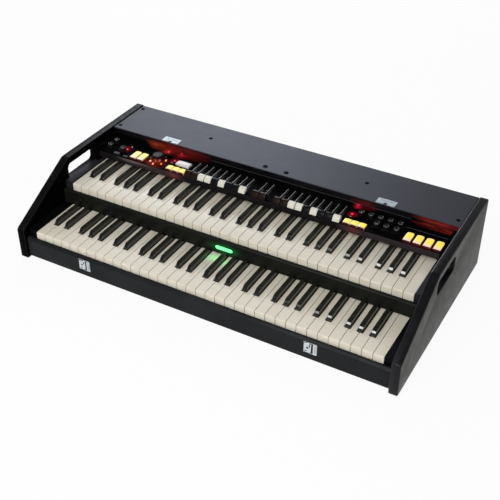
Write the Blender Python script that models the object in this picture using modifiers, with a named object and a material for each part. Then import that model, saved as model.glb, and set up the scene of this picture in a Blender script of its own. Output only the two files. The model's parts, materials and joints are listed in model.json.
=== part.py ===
# Two-manual drawbar organ.
# Metres, +Z up, +X to the player's right, +Y away from the player.
# The origin is the middle of the footprint, on the surface that the organ stands on.
# Places along the depth are given as distances behind the front edge of the cheeks.

import math

import bmesh
import bpy
from mathutils import Matrix, Vector

# Clearances
FIT = 0.0003
RUN = 0.0005

# Keyboards: five octaves and a top note on each manual
OCTAVES = 5
NATURAL_PITCH = 0.0235
KEY_GAP = 0.0010
NATURAL_HEIGHT = 0.018
NATURAL_HEAD = 0.0432
NATURAL_TAIL = 0.1118
BAR_DEPTH = 0.014
BAR_THICKNESS = 0.005
SHARP_WIDTH = 0.0120
SHARP_TOP_WIDTH = 0.0096
SHARP_RISE = 0.011
SHARP_LENGTH = 0.0853
SHARP_NOSE = 0.006
SHARP_TAIL_DEPTH = 0.009
SHARP_TAIL_DROP = 0.004
SHARP_SIDE_GAP = 0.0013
COMB_GAP = 0.0015
KEY_TRAVEL = 0.010

# Where the two manuals stand
RAIL_SETBACK = 0.0067
RAIL_THICKNESS = 0.0098
RAIL_TO_KEYS = 0.0020
RAIL_CHAMFER = 0.0050
FRONT_RAIL_TOP = 0.0552
FLOOR_GAP = 0.0070
BASE_THICKNESS = 0.0085
LOWER_KEYS_TOP = 0.0698
MANUAL_STEP_BACK = 0.1411
MANUAL_STEP_UP = 0.0527
DIVIDER_THICKNESS = 0.0080
DIVIDER_TO_KEYS = 0.0030
DIVIDER_CHAMFER = 0.0025
DIVIDER_LAP = 0.0029
DIVIDER_ABOVE_KEYS = 0.0025

# Key frames
END_BLOCK_WIDTH = 0.0200
END_BLOCK_RISE = 0.0040
KEY_TO_BLOCK = 0.0005
TRAY_THICKNESS = 0.0030
STOP_BAR_SETBACK = 0.0080
STOP_BAR_DEPTH = 0.0120
STOP_BAR_HEIGHT = 0.0040
STOP_CLEARANCE = 0.0008
LEG_DEPTH = 0.0240

# Cheeks
CHEEK_THICKNESS = 0.0195
CHEEK_FRONT_RISE = 0.0075
CHEEK_PROUD = 0.0020
KINK_SETBACK = 0.1780
CHEEK_CORNER = 0.0045
CHEEK_NOSE_RADIUS = 0.0090
CHEEK_KINK_RADIUS = 0.0220
HANDLE_SETBACK = 0.1755
HANDLE_LENGTH = 0.1035
HANDLE_HEIGHT = 0.0370
HANDLE_BELOW_TOP = 0.0175
HANDLE_RADIUS = 0.0100

# Control panel
LIP_SETBACK = 0.1164
LIP_CLEARANCE = 0.0020
LIP_HEIGHT = 0.0145
LIP_RADIUS = 0.0025
PANEL_DEPTH = 0.0820
PANEL_THICKNESS = 0.0020
PANEL_TAIL = 0.0160
FASCIA_HEIGHT = 0.0085
FASCIA_THICKNESS = 0.0030
BRACKET_WIDTH = 0.0125
BRACKET_OVERHANG = 0.0060
BRACKET_RISE = 0.0100

# Lid, back and base
LID_OVERHANG = 0.0020
LID_DEPTH = 0.1300
LID_THICKNESS = 0.0150
BACK_INSET = 0.0020
BACK_THICKNESS = 0.0120

# Catch plates for the transport cover
CATCH_CENTRE = -0.0035
CATCH_SPACING = 0.5540
CATCH_FRONT_SIZE = 0.0320
CATCH_TOP_WIDTH = 0.0460
CATCH_TOP_DEPTH = 0.0230
CATCH_THICKNESS = 0.0014
CATCH_NOTCH = 0.0090
CATCH_SINK = 0.0005

# Drawbars
DRAWBAR_PITCH = 0.0180
DRAWBAR_SET = 9
DRAWBAR_SET_CENTRES = (-0.1094, 0.1226)
DRAWBAR_MIDDLE_CENTRE = 0.0051
CAP_WIDTH = 0.0162
CAP_HEIGHT = 0.0110
CAP_DEPTH = 0.0140
CAP_TOP_DEPTH = 0.0075
CAP_SETBACK = 0.0012
DRAWBAR_TRAVEL = 0.0580
STEM_WIDTH = 0.0090
STEM_HEIGHT = 0.0045
STEM_LENGTH = 0.0710
NECK_WIDTH = 0.0060
NECK_DEPTH = 0.0080
SLOT_SIDE_GAP = 0.0006

# Tabs and buttons
TAB_WIDTH = 0.0160
TAB_LENGTH = 0.0330
TAB_RISE = 0.0060
TAB_SHANK = 0.0070
TAB_GAP = 0.0007
TAB_SETBACK = 0.0045
TAB_REAR_RADIUS = 0.0040
LEFT_TAB_CENTRE = -0.3268
LEFT_TAB_PITCH = 0.0196
RIGHT_TAB_CENTRE = 0.3873
RIGHT_TAB_PITCH = 0.0221
BUTTON_WIDTH = 0.0163
BUTTON_LENGTH = 0.0180
BUTTON_PITCH = 0.0171
BUTTON_SETBACK = 0.0040
BUTTON_RISE = 0.0055
BUTTON_CORNER = 0.0015
LEFT_BUTTON_CENTRE = -0.2175
RIGHT_BUTTON_CENTRE = 0.2350
WIDE_BUTTON_CENTRE = -0.2155
WIDE_BUTTON_WIDTH = 0.0360
WIDE_BUTTON_SETBACK = 0.0335

# Knobs
KNOB_RADIUS = 0.0075
KNOB_HEIGHT = 0.0110
KNOB_TAPER = 0.0008
KNOB_SHAFT_RADIUS = 0.0030
KNOB_SHAFT_LENGTH = 0.0070
LEFT_KNOB_COLUMN = -0.4160
LEFT_KNOB_STEP = 0.0360
KNOB_FRONT_SETBACK = 0.0290
KNOB_ROW_STEP = 0.0240
RIGHT_REAR_KNOB_START = 0.2330
RIGHT_REAR_KNOB_COUNT = 5
RIGHT_FRONT_KNOB_START = 0.2780
RIGHT_FRONT_KNOB_COUNT = 3
RIGHT_KNOB_PITCH = 0.0225
SELECTOR_RADIUS = 0.0132
SELECTOR_HEIGHT = 0.0138
SELECTOR_X = -0.2830
SELECTOR_SETBACK = 0.0350

# How round shapes are drawn, with angles in radians
TURNED_STEPS = 16
STANDOFF_STEPS = 12
ARC_STEPS = 4
SMALL_ARC_STEPS = 2
MERGE_DISTANCE = 0.00001
FLAT_ANGLE = 0.01
SHARP_ANGLE = 0.6

# Electronics and the mains inlet
BOARD_LENGTH = 0.5600
BOARD_DEPTH = 0.1700
BOARD_THICKNESS = 0.0020
BOARD_STANDOFF = 0.0100
BOARD_INSET = 0.0120
STANDOFF_RADIUS = 0.0040
BOARD_TO_FRAME = 0.0400
TRANSFORMER = (0.070, 0.055, 0.045)
HEAT_SINK = (0.120, 0.020, 0.035)
INLET_X = 0.3300
INLET_WIDTH = 0.0260
INLET_HEIGHT = 0.0190
INLET_DEPTH = 0.0090
INLET_RISE = 0.0450

# Sizes that follow from the ones above
OCTAVE_NATURALS = 7
NATURALS = OCTAVES * OCTAVE_NATURALS + 1
KEYBED_WIDTH = NATURALS * NATURAL_PITCH
INNER_HALF = KEYBED_WIDTH / 2 + KEY_TO_BLOCK + END_BLOCK_WIDTH
LOWER_KEYS_FRONT = RAIL_SETBACK + RAIL_THICKNESS + RAIL_TO_KEYS
UPPER_KEYS_FRONT = LOWER_KEYS_FRONT + MANUAL_STEP_BACK
UPPER_KEYS_TOP = LOWER_KEYS_TOP + MANUAL_STEP_UP
DIVIDER_FRONT = UPPER_KEYS_FRONT - DIVIDER_TO_KEYS - DIVIDER_THICKNESS
LIP_FRONT = UPPER_KEYS_FRONT + LIP_SETBACK
LIP_BOTTOM = UPPER_KEYS_TOP + SHARP_RISE + LIP_CLEARANCE
PANEL_TOP = LIP_BOTTOM + LIP_HEIGHT
FASCIA_FRONT = LIP_FRONT + PANEL_DEPTH
LID_FRONT = FASCIA_FRONT - LID_OVERHANG
LID_BOTTOM = PANEL_TOP + FASCIA_HEIGHT
LID_TOP = LID_BOTTOM + LID_THICKNESS
DEPTH = LID_FRONT + LID_DEPTH + BACK_INSET
CHEEK_HEIGHT = LID_TOP + CHEEK_PROUD
CHEEK_FRONT_HEIGHT = LOWER_KEYS_TOP + CHEEK_FRONT_RISE
BASE_TOP = FLOOR_GAP + BASE_THICKNESS
COMB_REAR = NATURAL_HEAD + NATURAL_TAIL + BAR_DEPTH
SHARP_BAR_FRONT = COMB_REAR + COMB_GAP
SHARP_BAR_REAR = SHARP_BAR_FRONT + BAR_DEPTH
NATURAL_PIVOT = COMB_REAR - BAR_DEPTH / 3
CATCHES_X = (CATCH_CENTRE - CATCH_SPACING / 2, CATCH_CENTRE + CATCH_SPACING / 2)


def place(setback):
    """World Y of a point this far behind the front edge of the cheeks."""
    return setback - DEPTH / 2


# Scene, collections and materials

for leftover in list(bpy.data.objects):
    bpy.data.objects.remove(leftover, do_unlink=True)

parts = bpy.data.collections.new("drawbar_organ")
cutters = bpy.data.collections.new("cutters")
bpy.context.scene.collection.children.link(parts)
bpy.context.scene.collection.children.link(cutters)


def make_material(name, colour, roughness, metallic=0.0, glow=0.0):
    material = bpy.data.materials.new(name)
    material.use_nodes = True
    shader = material.node_tree.nodes["Principled BSDF"]
    shader.inputs["Base Color"].default_value = (*colour, 1.0)
    shader.inputs["Roughness"].default_value = roughness
    shader.inputs["Metallic"].default_value = metallic
    shader.inputs["Emission Color"].default_value = (*colour, 1.0)
    shader.inputs["Emission Strength"].default_value = glow
    material.diffuse_color = (*colour, 1.0)
    return material


CABINET_BLACK = make_material("cabinet_black", (0.030, 0.030, 0.033), 0.45)
LID_GREY = make_material("lid_grey", (0.090, 0.095, 0.110), 0.40)
RAIL_BLACK = make_material("rail_black", (0.028, 0.028, 0.030), 0.35)
PANEL_BLACK = make_material("panel_black", (0.012, 0.012, 0.014), 0.18)
FRAME_METAL = make_material("frame_aluminium", (0.100, 0.100, 0.110), 0.50, metallic=0.8)
BASE_BOARD = make_material("base_board", (0.180, 0.130, 0.080), 0.70)
NATURAL_IVORY = make_material("natural_ivory", (0.700, 0.660, 0.570), 0.30)
SHARP_BLACK = make_material("sharp_black", (0.015, 0.015, 0.016), 0.15)
CAP_WHITE = make_material("cap_white", (0.750, 0.730, 0.660), 0.30)
CAP_BLACK = make_material("cap_black", (0.020, 0.020, 0.022), 0.20)
CAP_BROWN = make_material("cap_brown", (0.090, 0.040, 0.020), 0.25)
TAB_AMBER = make_material("tab_amber", (1.000, 0.740, 0.100), 0.30, glow=1.0)
TAB_WHITE = make_material("tab_white", (0.600, 0.600, 0.600), 0.35)
KNOB_BLACK = make_material("knob_black", (0.015, 0.015, 0.015), 0.15)
SELECTOR_GREY = make_material("selector_grey", (0.060, 0.065, 0.070), 0.40)
BOARD_GREEN = make_material("board_green", (0.020, 0.120, 0.050), 0.50)


# Modelling helpers

def add_object(name, mesh, collection=None, material=None):
    item = bpy.data.objects.new(name, mesh)
    (collection or parts).objects.link(item)
    if material:
        mesh.materials.append(material)
    return item


def add_cutter(mesh):
    item = add_object(mesh.name, mesh, cutters)
    item.hide_render = True
    item.display_type = "WIRE"
    return item


def boxes_mesh(name, boxes):
    """One mesh of axis-aligned boxes, each given as its X, Y and Z spans."""
    mesh = bpy.data.meshes.new(name)
    shape = bmesh.new()
    for spans in boxes:
        size = [high - low for low, high in spans]
        centre = [(high + low) / 2 for low, high in spans]
        matrix = Matrix.Translation(centre) @ Matrix.Diagonal((*size, 1.0))
        bmesh.ops.create_cube(shape, size=1.0, matrix=matrix)
    shape.to_mesh(mesh)
    shape.free()
    return mesh


def box(name, material, *spans):
    return add_object(name, boxes_mesh(name, [spans]), material=material)


def boolean(target, mesh, operation):
    """Joins a mesh to the target, or cuts it away."""
    modifier = target.modifiers.new(operation.title(), "BOOLEAN")
    modifier.operation = operation
    modifier.solver = "EXACT"
    modifier.use_self = operation == "UNION"
    modifier.object = add_cutter(mesh)


def rounded_outline(corners, steps=ARC_STEPS):
    """Points of a closed outline whose corners, each (x, y, radius), are arcs."""
    points = []
    count = len(corners)
    for index, (x, y, radius) in enumerate(corners):
        here = Vector((x, y))
        if radius <= 0:
            points.append(here)
            continue
        before = Vector(corners[index - 1][:2])
        after = Vector(corners[(index + 1) % count][:2])
        to_before = (before - here).normalized()
        to_after = (after - here).normalized()
        half_angle = to_before.angle(to_after) / 2
        centre = here + (to_before + to_after).normalized() * (radius / math.sin(half_angle))
        start = here + to_before * (radius / math.tan(half_angle)) - centre
        end = here + to_after * (radius / math.tan(half_angle)) - centre
        sweep = start.angle_signed(end)
        for step in range(steps + 1):
            turned = start.copy()
            turned.rotate(Matrix.Rotation(-sweep * step / steps, 2))
            points.append(centre + turned)
    return points


def evaluated_mesh(name, drawn):
    """The mesh that an object makes, in world space, in place of the object."""
    bpy.context.view_layer.update()
    evaluated = drawn.evaluated_get(bpy.context.evaluated_depsgraph_get())
    mesh = bpy.data.meshes.new_from_object(evaluated)
    mesh.name = name
    mesh.transform(drawn.matrix_world)
    bpy.data.objects.remove(drawn, do_unlink=True)
    return mesh


def shade(mesh):
    mesh.shade_smooth()
    mesh.set_sharp_from_angle(angle=SHARP_ANGLE)


def extruded(name, outlines, thickness, matrix):
    """A flat outline, with any inner outlines as holes, made a solid of this thickness."""
    curve = bpy.data.curves.new(name + "_outline", "CURVE")
    curve.dimensions = "2D"
    curve.fill_mode = "BOTH"
    curve.extrude = thickness / 2
    for points in outlines:
        spline = curve.splines.new("POLY")
        spline.points.add(len(points) - 1)
        for point, (x, y) in zip(spline.points, points):
            point.co = (x, y, 0, 1)
        spline.use_cyclic_u = True
    drawn = bpy.data.objects.new(name + "_outline", curve)
    cutters.objects.link(drawn)
    drawn.matrix_world = matrix
    mesh = evaluated_mesh(name, drawn)
    shape = bmesh.new()
    shape.from_mesh(mesh)
    bmesh.ops.remove_doubles(shape, verts=shape.verts, dist=MERGE_DISTANCE)
    bmesh.ops.dissolve_limit(shape, angle_limit=FLAT_ANGLE, verts=shape.verts, edges=shape.edges)
    bmesh.ops.recalc_face_normals(shape, faces=shape.faces)
    shape.to_mesh(mesh)
    shape.free()
    shade(mesh)
    return mesh


def across(x):
    """Turns an outline drawn in depth and height into one that stands at this X."""
    turned = Matrix(((0, 0, 1), (1, 0, 0), (0, 1, 0))).to_4x4()
    return Matrix.Translation((x, 0, 0)) @ turned


def level(z):
    """Keeps an outline drawn in X and Y flat, at this height."""
    return Matrix.Translation((0, 0, z))


def profile_bar(name, material, corners, x_low, x_high):
    """A bar along X with the given depth and height outline."""
    points = [(place(setback), height) for setback, height in rounded_outline(corners)]
    mesh = extruded(name, [points], x_high - x_low, across((x_low + x_high) / 2))
    return add_object(name, mesh, material=material)


def set_origin(item, point):
    """Moves an object's origin to a point on its joint's axis."""
    item.data.transform(Matrix.Translation(-Vector(point)))
    item.location = point


def turned(name, material, profile, centre):
    """A body turned about a vertical axis from (radius, height) points, top to bottom."""
    outline = bpy.data.meshes.new(name + "_profile")
    shape = bmesh.new()
    corners = [shape.verts.new((radius, 0, height)) for radius, height in profile]
    for first, second in zip(corners, corners[1:]):
        shape.edges.new((first, second))
    shape.to_mesh(outline)
    shape.free()
    drawn = add_object(name + "_profile", outline, cutters)
    screw = drawn.modifiers.new("Turn", "SCREW")
    screw.axis = "Z"
    screw.angle = math.tau
    screw.steps = TURNED_STEPS
    screw.render_steps = TURNED_STEPS
    screw.use_merge_vertices = True
    screw.merge_threshold = MERGE_DISTANCE
    mesh = evaluated_mesh(name, drawn)
    shade(mesh)
    item = add_object(name, mesh, material=material)
    item.location = centre


def cylinders_mesh(name, centres, radius, low, high, sides):
    """One mesh of upright cylinders at these X and Y centres."""
    mesh = bpy.data.meshes.new(name)
    shape = bmesh.new()
    for x, y in centres:
        bmesh.ops.create_cone(
            shape, cap_ends=True, segments=sides, radius1=radius, radius2=radius,
            depth=high - low, matrix=Matrix.Translation((x, y, (high + low) / 2)),
        )
    shape.to_mesh(mesh)
    shape.free()
    return mesh


# Cabinet

def make_cheek(name, side):
    corners = (
        (0, 0, CHEEK_CORNER),
        (DEPTH, 0, CHEEK_CORNER),
        (DEPTH, CHEEK_HEIGHT, CHEEK_CORNER),
        (KINK_SETBACK, CHEEK_HEIGHT, CHEEK_KINK_RADIUS),
        (0, CHEEK_FRONT_HEIGHT, CHEEK_NOSE_RADIUS),
    )
    handle_top = CHEEK_HEIGHT - HANDLE_BELOW_TOP
    handle_bottom = handle_top - HANDLE_HEIGHT
    handle_rear = HANDLE_SETBACK + HANDLE_LENGTH
    handle = (
        (HANDLE_SETBACK, handle_bottom, HANDLE_RADIUS),
        (handle_rear, handle_bottom, HANDLE_RADIUS),
        (handle_rear, handle_top, HANDLE_RADIUS),
        (HANDLE_SETBACK, handle_top, HANDLE_RADIUS),
    )
    outlines = [
        [(place(setback), height) for setback, height in rounded_outline(outline)]
        for outline in (corners, handle)
    ]
    middle = side * (INNER_HALF + CHEEK_THICKNESS / 2)
    mesh = extruded(name, outlines, CHEEK_THICKNESS, across(middle))
    add_object(name, mesh, material=CABINET_BLACK)


def make_front_rail():
    front = RAIL_SETBACK
    rear = front + RAIL_THICKNESS
    corners = (
        (front, FLOOR_GAP, 0),
        (rear, FLOOR_GAP, 0),
        (rear, FRONT_RAIL_TOP, 0),
        (front + RAIL_CHAMFER, FRONT_RAIL_TOP, 0),
        (front, FRONT_RAIL_TOP - RAIL_CHAMFER, 0),
    )
    half = INNER_HALF - FIT
    rail = profile_bar("front_rail", RAIL_BLACK, corners, -half, half)
    top = FRONT_RAIL_TOP - RAIL_CHAMFER
    plates = [
        (
            (x - CATCH_FRONT_SIZE / 2, x + CATCH_FRONT_SIZE / 2),
            (place(front) - CATCH_THICKNESS, place(front) + CATCH_SINK),
            (top - CATCH_FRONT_SIZE, top),
        )
        for x in CATCHES_X
    ]
    boolean(rail, boxes_mesh("front_catch_plates", plates), "UNION")


def make_divider_rail():
    front = DIVIDER_FRONT
    rear = front + DIVIDER_THICKNESS
    top = UPPER_KEYS_TOP - NATURAL_HEIGHT + DIVIDER_LAP
    bottom = LOWER_KEYS_TOP + DIVIDER_ABOVE_KEYS
    corners = (
        (front, bottom, 0),
        (rear, bottom, 0),
        (rear, top, 0),
        (front + DIVIDER_CHAMFER, top, 0),
        (front, top - DIVIDER_CHAMFER, 0),
    )
    half = INNER_HALF - FIT
    profile_bar("divider_rail", RAIL_BLACK, corners, -half, half)


def make_base_board():
    half = INNER_HALF - FIT
    front = RAIL_SETBACK + RAIL_THICKNESS + FIT
    rear = LID_FRONT + LID_DEPTH - BACK_THICKNESS - FIT
    box("base_board", BASE_BOARD, (-half, half), (place(front), place(rear)), (FLOOR_GAP, BASE_TOP))


def make_back_panel():
    half = INNER_HALF - FIT
    rear = place(LID_FRONT + LID_DEPTH)
    panel = box(
        "back_panel", CABINET_BLACK, (-half, half), (rear - BACK_THICKNESS, rear),
        (FLOOR_GAP, LID_BOTTOM - FIT),
    )
    inlet = (
        (INLET_X - INLET_WIDTH / 2, INLET_X + INLET_WIDTH / 2),
        (rear - INLET_DEPTH, rear + INLET_DEPTH),
        (INLET_RISE, INLET_RISE + INLET_HEIGHT),
    )
    boolean(panel, boxes_mesh("inlet_socket", [inlet]), "DIFFERENCE")


def make_top_lid():
    half = INNER_HALF - FIT
    front = place(LID_FRONT)
    lid = box(
        "top_lid", LID_GREY, (-half, half), (front, front + LID_DEPTH), (LID_BOTTOM, LID_TOP),
    )
    plates = []
    for x in CATCHES_X:
        low = (LID_TOP - CATCH_SINK, LID_TOP + CATCH_THICKNESS)
        rear = front + CATCH_TOP_DEPTH
        step = front + CATCH_NOTCH
        plates.append(((x - CATCH_TOP_WIDTH / 2, x - CATCH_NOTCH / 2), (front, rear), low))
        plates.append(((x + CATCH_NOTCH / 2, x + CATCH_TOP_WIDTH / 2), (front, rear), low))
        plates.append(((x - CATCH_NOTCH, x + CATCH_NOTCH), (step, rear), low))
    boolean(lid, boxes_mesh("top_catch_plates", plates), "UNION")


# Keyboards

def sharp_centres():
    """X of each sharp: a group of n naturals is shared evenly by 2n - 1 semitones."""
    centres = []
    start = -KEYBED_WIDTH / 2
    for _ in range(OCTAVES):
        for naturals in (3, 4):
            semitone = naturals * NATURAL_PITCH / (2 * naturals - 1)
            for index in range(1, naturals):
                centres.append(start + semitone * (2 * index - 0.5))
            start += naturals * NATURAL_PITCH
    return centres


SHARPS_X = sharp_centres()
NOTCH_HALF = SHARP_WIDTH / 2 + SHARP_SIDE_GAP


def make_naturals(name, front, top):
    """A slab cut into naturals: slots between them, notches round the sharps, a bar behind."""
    bottom = top - NATURAL_HEIGHT
    head = front + NATURAL_HEAD
    bar = head + NATURAL_TAIL
    half = (KEYBED_WIDTH - KEY_GAP) / 2
    comb = box(
        name, NATURAL_IVORY, (-half, half), (place(front), place(front + COMB_REAR)), (bottom, top),
    )
    through = (bottom - RUN, top + RUN)
    slots = []
    for index in range(1, NATURALS):
        x = index * NATURAL_PITCH - KEYBED_WIDTH / 2
        beside_sharp = any(abs(sharp - x) < NATURAL_PITCH / 2 for sharp in SHARPS_X)
        rear = head + RUN if beside_sharp else bar
        slots.append((
            (x - KEY_GAP / 2, x + KEY_GAP / 2), (place(front - RUN), place(rear)), through,
        ))
    notches = [
        ((x - NOTCH_HALF, x + NOTCH_HALF), (place(head), place(bar)), through) for x in SHARPS_X
    ]
    above_bar = (
        (-KEYBED_WIDTH, KEYBED_WIDTH), (place(bar - RUN), place(front + COMB_REAR + RUN)),
        (bottom + BAR_THICKNESS, top + RUN),
    )
    boolean(comb, boxes_mesh(name + "_slots", slots), "DIFFERENCE")
    boolean(comb, boxes_mesh(name + "_notches", notches), "DIFFERENCE")
    boolean(comb, boxes_mesh(name + "_step", [above_bar]), "DIFFERENCE")
    set_origin(comb, (0, place(front + NATURAL_PIVOT), bottom))


def sharp_tops_mesh(name, front, top):
    """The raised parts of the sharps: a slanted nose and sides that lean in."""
    mesh = bpy.data.meshes.new(name)
    shape = bmesh.new()
    nose = place(front + NATURAL_HEAD + SHARP_SIDE_GAP)
    rear = place(front + NATURAL_HEAD + SHARP_LENGTH)
    low = top - SHARP_TAIL_DROP - BAR_THICKNESS / 2
    high = top + SHARP_RISE
    for x in SHARPS_X:
        made = bmesh.ops.create_cube(shape, size=1.0)
        for vert in made["verts"]:
            upper = vert.co.z > 0
            width = SHARP_TOP_WIDTH if upper else SHARP_WIDTH
            ahead = nose + SHARP_NOSE if upper else nose
            vert.co = (
                x + math.copysign(width / 2, vert.co.x),
                rear if vert.co.y > 0 else ahead,
                high if upper else low,
            )
    shape.to_mesh(mesh)
    shape.free()
    return mesh


def make_sharps(name, front, top):
    """Sharps on thin tongues that cross over the naturals' bar to a bar of their own."""
    start = place(front + NATURAL_HEAD + SHARP_NOSE)
    bar = place(front + SHARP_BAR_FRONT)
    half = KEYBED_WIDTH / 2 - KEY_GAP / 2
    tongue = SHARP_TOP_WIDTH / 2
    points = [(-half, bar)]
    for x in SHARPS_X:
        points += [(x - tongue, bar), (x - tongue, start), (x + tongue, start), (x + tongue, bar)]
    rear = place(front + SHARP_BAR_REAR)
    points += [(half, bar), (half, rear), (-half, rear)]
    high = top - SHARP_TAIL_DROP
    low = top - SHARP_TAIL_DEPTH
    bottom = top - NATURAL_HEIGHT
    comb = add_object(
        name, extruded(name, [points], high - low, level((high + low) / 2)), material=SHARP_BLACK,
    )
    boolean(comb, sharp_tops_mesh(name + "_tops", front, top), "UNION")
    foot = ((-half + RUN, half - RUN), (bar + RUN, rear - RUN), (bottom, high - RUN))
    boolean(comb, boxes_mesh(name + "_foot", [foot]), "UNION")
    set_origin(comb, (0, bar, bottom))


def make_key_frame(name, front, top, tray_bottom, block_rear, leg_bottom):
    """The tray that carries one manual: stop bar, pivot rail, end blocks and rear legs."""
    key_bottom = top - NATURAL_HEIGHT
    stop_top = key_bottom - KEY_TRAVEL - STOP_CLEARANCE
    tray_top = tray_bottom + TRAY_THICKNESS
    outer = INNER_HALF - FIT
    inner = KEYBED_WIDTH / 2 + KEY_TO_BLOCK
    rear = front + SHARP_BAR_REAR
    frame = box(
        name, FRAME_METAL, (-outer, outer), (place(front + RUN), place(rear)),
        (tray_bottom, tray_top),
    )
    pieces = [
        (
            (-inner - RUN, inner + RUN),
            (place(front + STOP_BAR_SETBACK), place(front + STOP_BAR_SETBACK + STOP_BAR_DEPTH)),
            (tray_bottom + RUN, stop_top),
        ),
        (
            (-inner - RUN, inner + RUN),
            (place(front + NATURAL_PIVOT), place(rear - RUN)),
            (tray_bottom + RUN, key_bottom - FIT),
        ),
    ]
    for side in (-1, 1):
        span = tuple(sorted((side * inner, side * (outer - RUN))))
        pieces.append((
            span, (place(front), place(block_rear)), (tray_bottom + RUN, top + END_BLOCK_RISE),
        ))
        if leg_bottom is not None:
            pieces.append((
                span, (place(rear - LEG_DEPTH), place(rear - RUN)), (leg_bottom, tray_top - RUN),
            ))
    boolean(frame, boxes_mesh(name + "_rails", pieces), "UNION")


def make_keyboards():
    lower_rear = DIVIDER_FRONT - FIT
    make_key_frame(
        "lower_key_frame", LOWER_KEYS_FRONT, LOWER_KEYS_TOP, BASE_TOP + FIT, lower_rear, None,
    )
    make_naturals("lower_naturals", LOWER_KEYS_FRONT, LOWER_KEYS_TOP)
    make_sharps("lower_sharps", LOWER_KEYS_FRONT, LOWER_KEYS_TOP)
    stop_top = UPPER_KEYS_TOP - NATURAL_HEIGHT - KEY_TRAVEL - STOP_CLEARANCE
    tray_bottom = stop_top - STOP_BAR_HEIGHT - TRAY_THICKNESS
    upper_rear = UPPER_KEYS_FRONT + SHARP_BAR_REAR
    make_key_frame(
        "upper_key_frame", UPPER_KEYS_FRONT, UPPER_KEYS_TOP, tray_bottom, upper_rear,
        BASE_TOP + FIT,
    )
    make_naturals("upper_naturals", UPPER_KEYS_FRONT, UPPER_KEYS_TOP)
    make_sharps("upper_sharps", UPPER_KEYS_FRONT, UPPER_KEYS_TOP)


# Control panel

def drawbar_places():
    """X and colour of each drawbar: nine, two in the middle, nine."""
    colours = (
        CAP_BROWN, CAP_BROWN, CAP_WHITE, CAP_WHITE, CAP_BLACK,
        CAP_WHITE, CAP_BLACK, CAP_BLACK, CAP_WHITE,
    )
    left, right = (
        [(centre + (index - (DRAWBAR_SET - 1) / 2) * DRAWBAR_PITCH, colours[index])
         for index in range(DRAWBAR_SET)]
        for centre in DRAWBAR_SET_CENTRES
    )
    middle = [
        (DRAWBAR_MIDDLE_CENTRE + half * DRAWBAR_PITCH, CAP_BROWN) for half in (-0.5, 0.5)
    ]
    return left + middle + right


def row(centre, pitch, count):
    return [centre + (index - (count - 1) / 2) * pitch for index in range(count)]


def tab_places():
    """X of the long tilting tabs, left to right."""
    return row(LEFT_TAB_CENTRE, LEFT_TAB_PITCH, 2) + row(RIGHT_TAB_CENTRE, RIGHT_TAB_PITCH, 4)


def button_places():
    """X, setback from the lip, width and material of each push button, left to right."""
    left = row(LEFT_BUTTON_CENTRE, BUTTON_PITCH, 3)
    right = row(RIGHT_BUTTON_CENTRE, BUTTON_PITCH, 3)
    places = [(x, BUTTON_SETBACK, BUTTON_WIDTH, TAB_AMBER) for x in left + right]
    wide = (WIDE_BUTTON_CENTRE, WIDE_BUTTON_SETBACK, WIDE_BUTTON_WIDTH, TAB_WHITE)
    places.insert(3, wide)
    return places


def knob_places():
    """X and setback from the lip of each small knob, left to right."""
    rear = KNOB_FRONT_SETBACK + KNOB_ROW_STEP
    places = [
        (LEFT_KNOB_COLUMN, KNOB_FRONT_SETBACK),
        (LEFT_KNOB_COLUMN, rear),
        (LEFT_KNOB_COLUMN + LEFT_KNOB_STEP, KNOB_FRONT_SETBACK),
    ]
    for index in range(RIGHT_REAR_KNOB_COUNT):
        places.append((RIGHT_REAR_KNOB_START + index * RIGHT_KNOB_PITCH, rear))
    for index in range(RIGHT_FRONT_KNOB_COUNT):
        places.append((RIGHT_FRONT_KNOB_START + index * RIGHT_KNOB_PITCH, KNOB_FRONT_SETBACK))
    return places


def opening(x, width, front, length):
    """A cutter's spans for an opening in the deck, round a piece of this width and length."""
    return (
        (x - width / 2 - TAB_GAP, x + width / 2 + TAB_GAP),
        (front - TAB_GAP, front + length + TAB_GAP),
        (PANEL_TOP - 2 * PANEL_THICKNESS, PANEL_TOP + PANEL_THICKNESS),
    )


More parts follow.
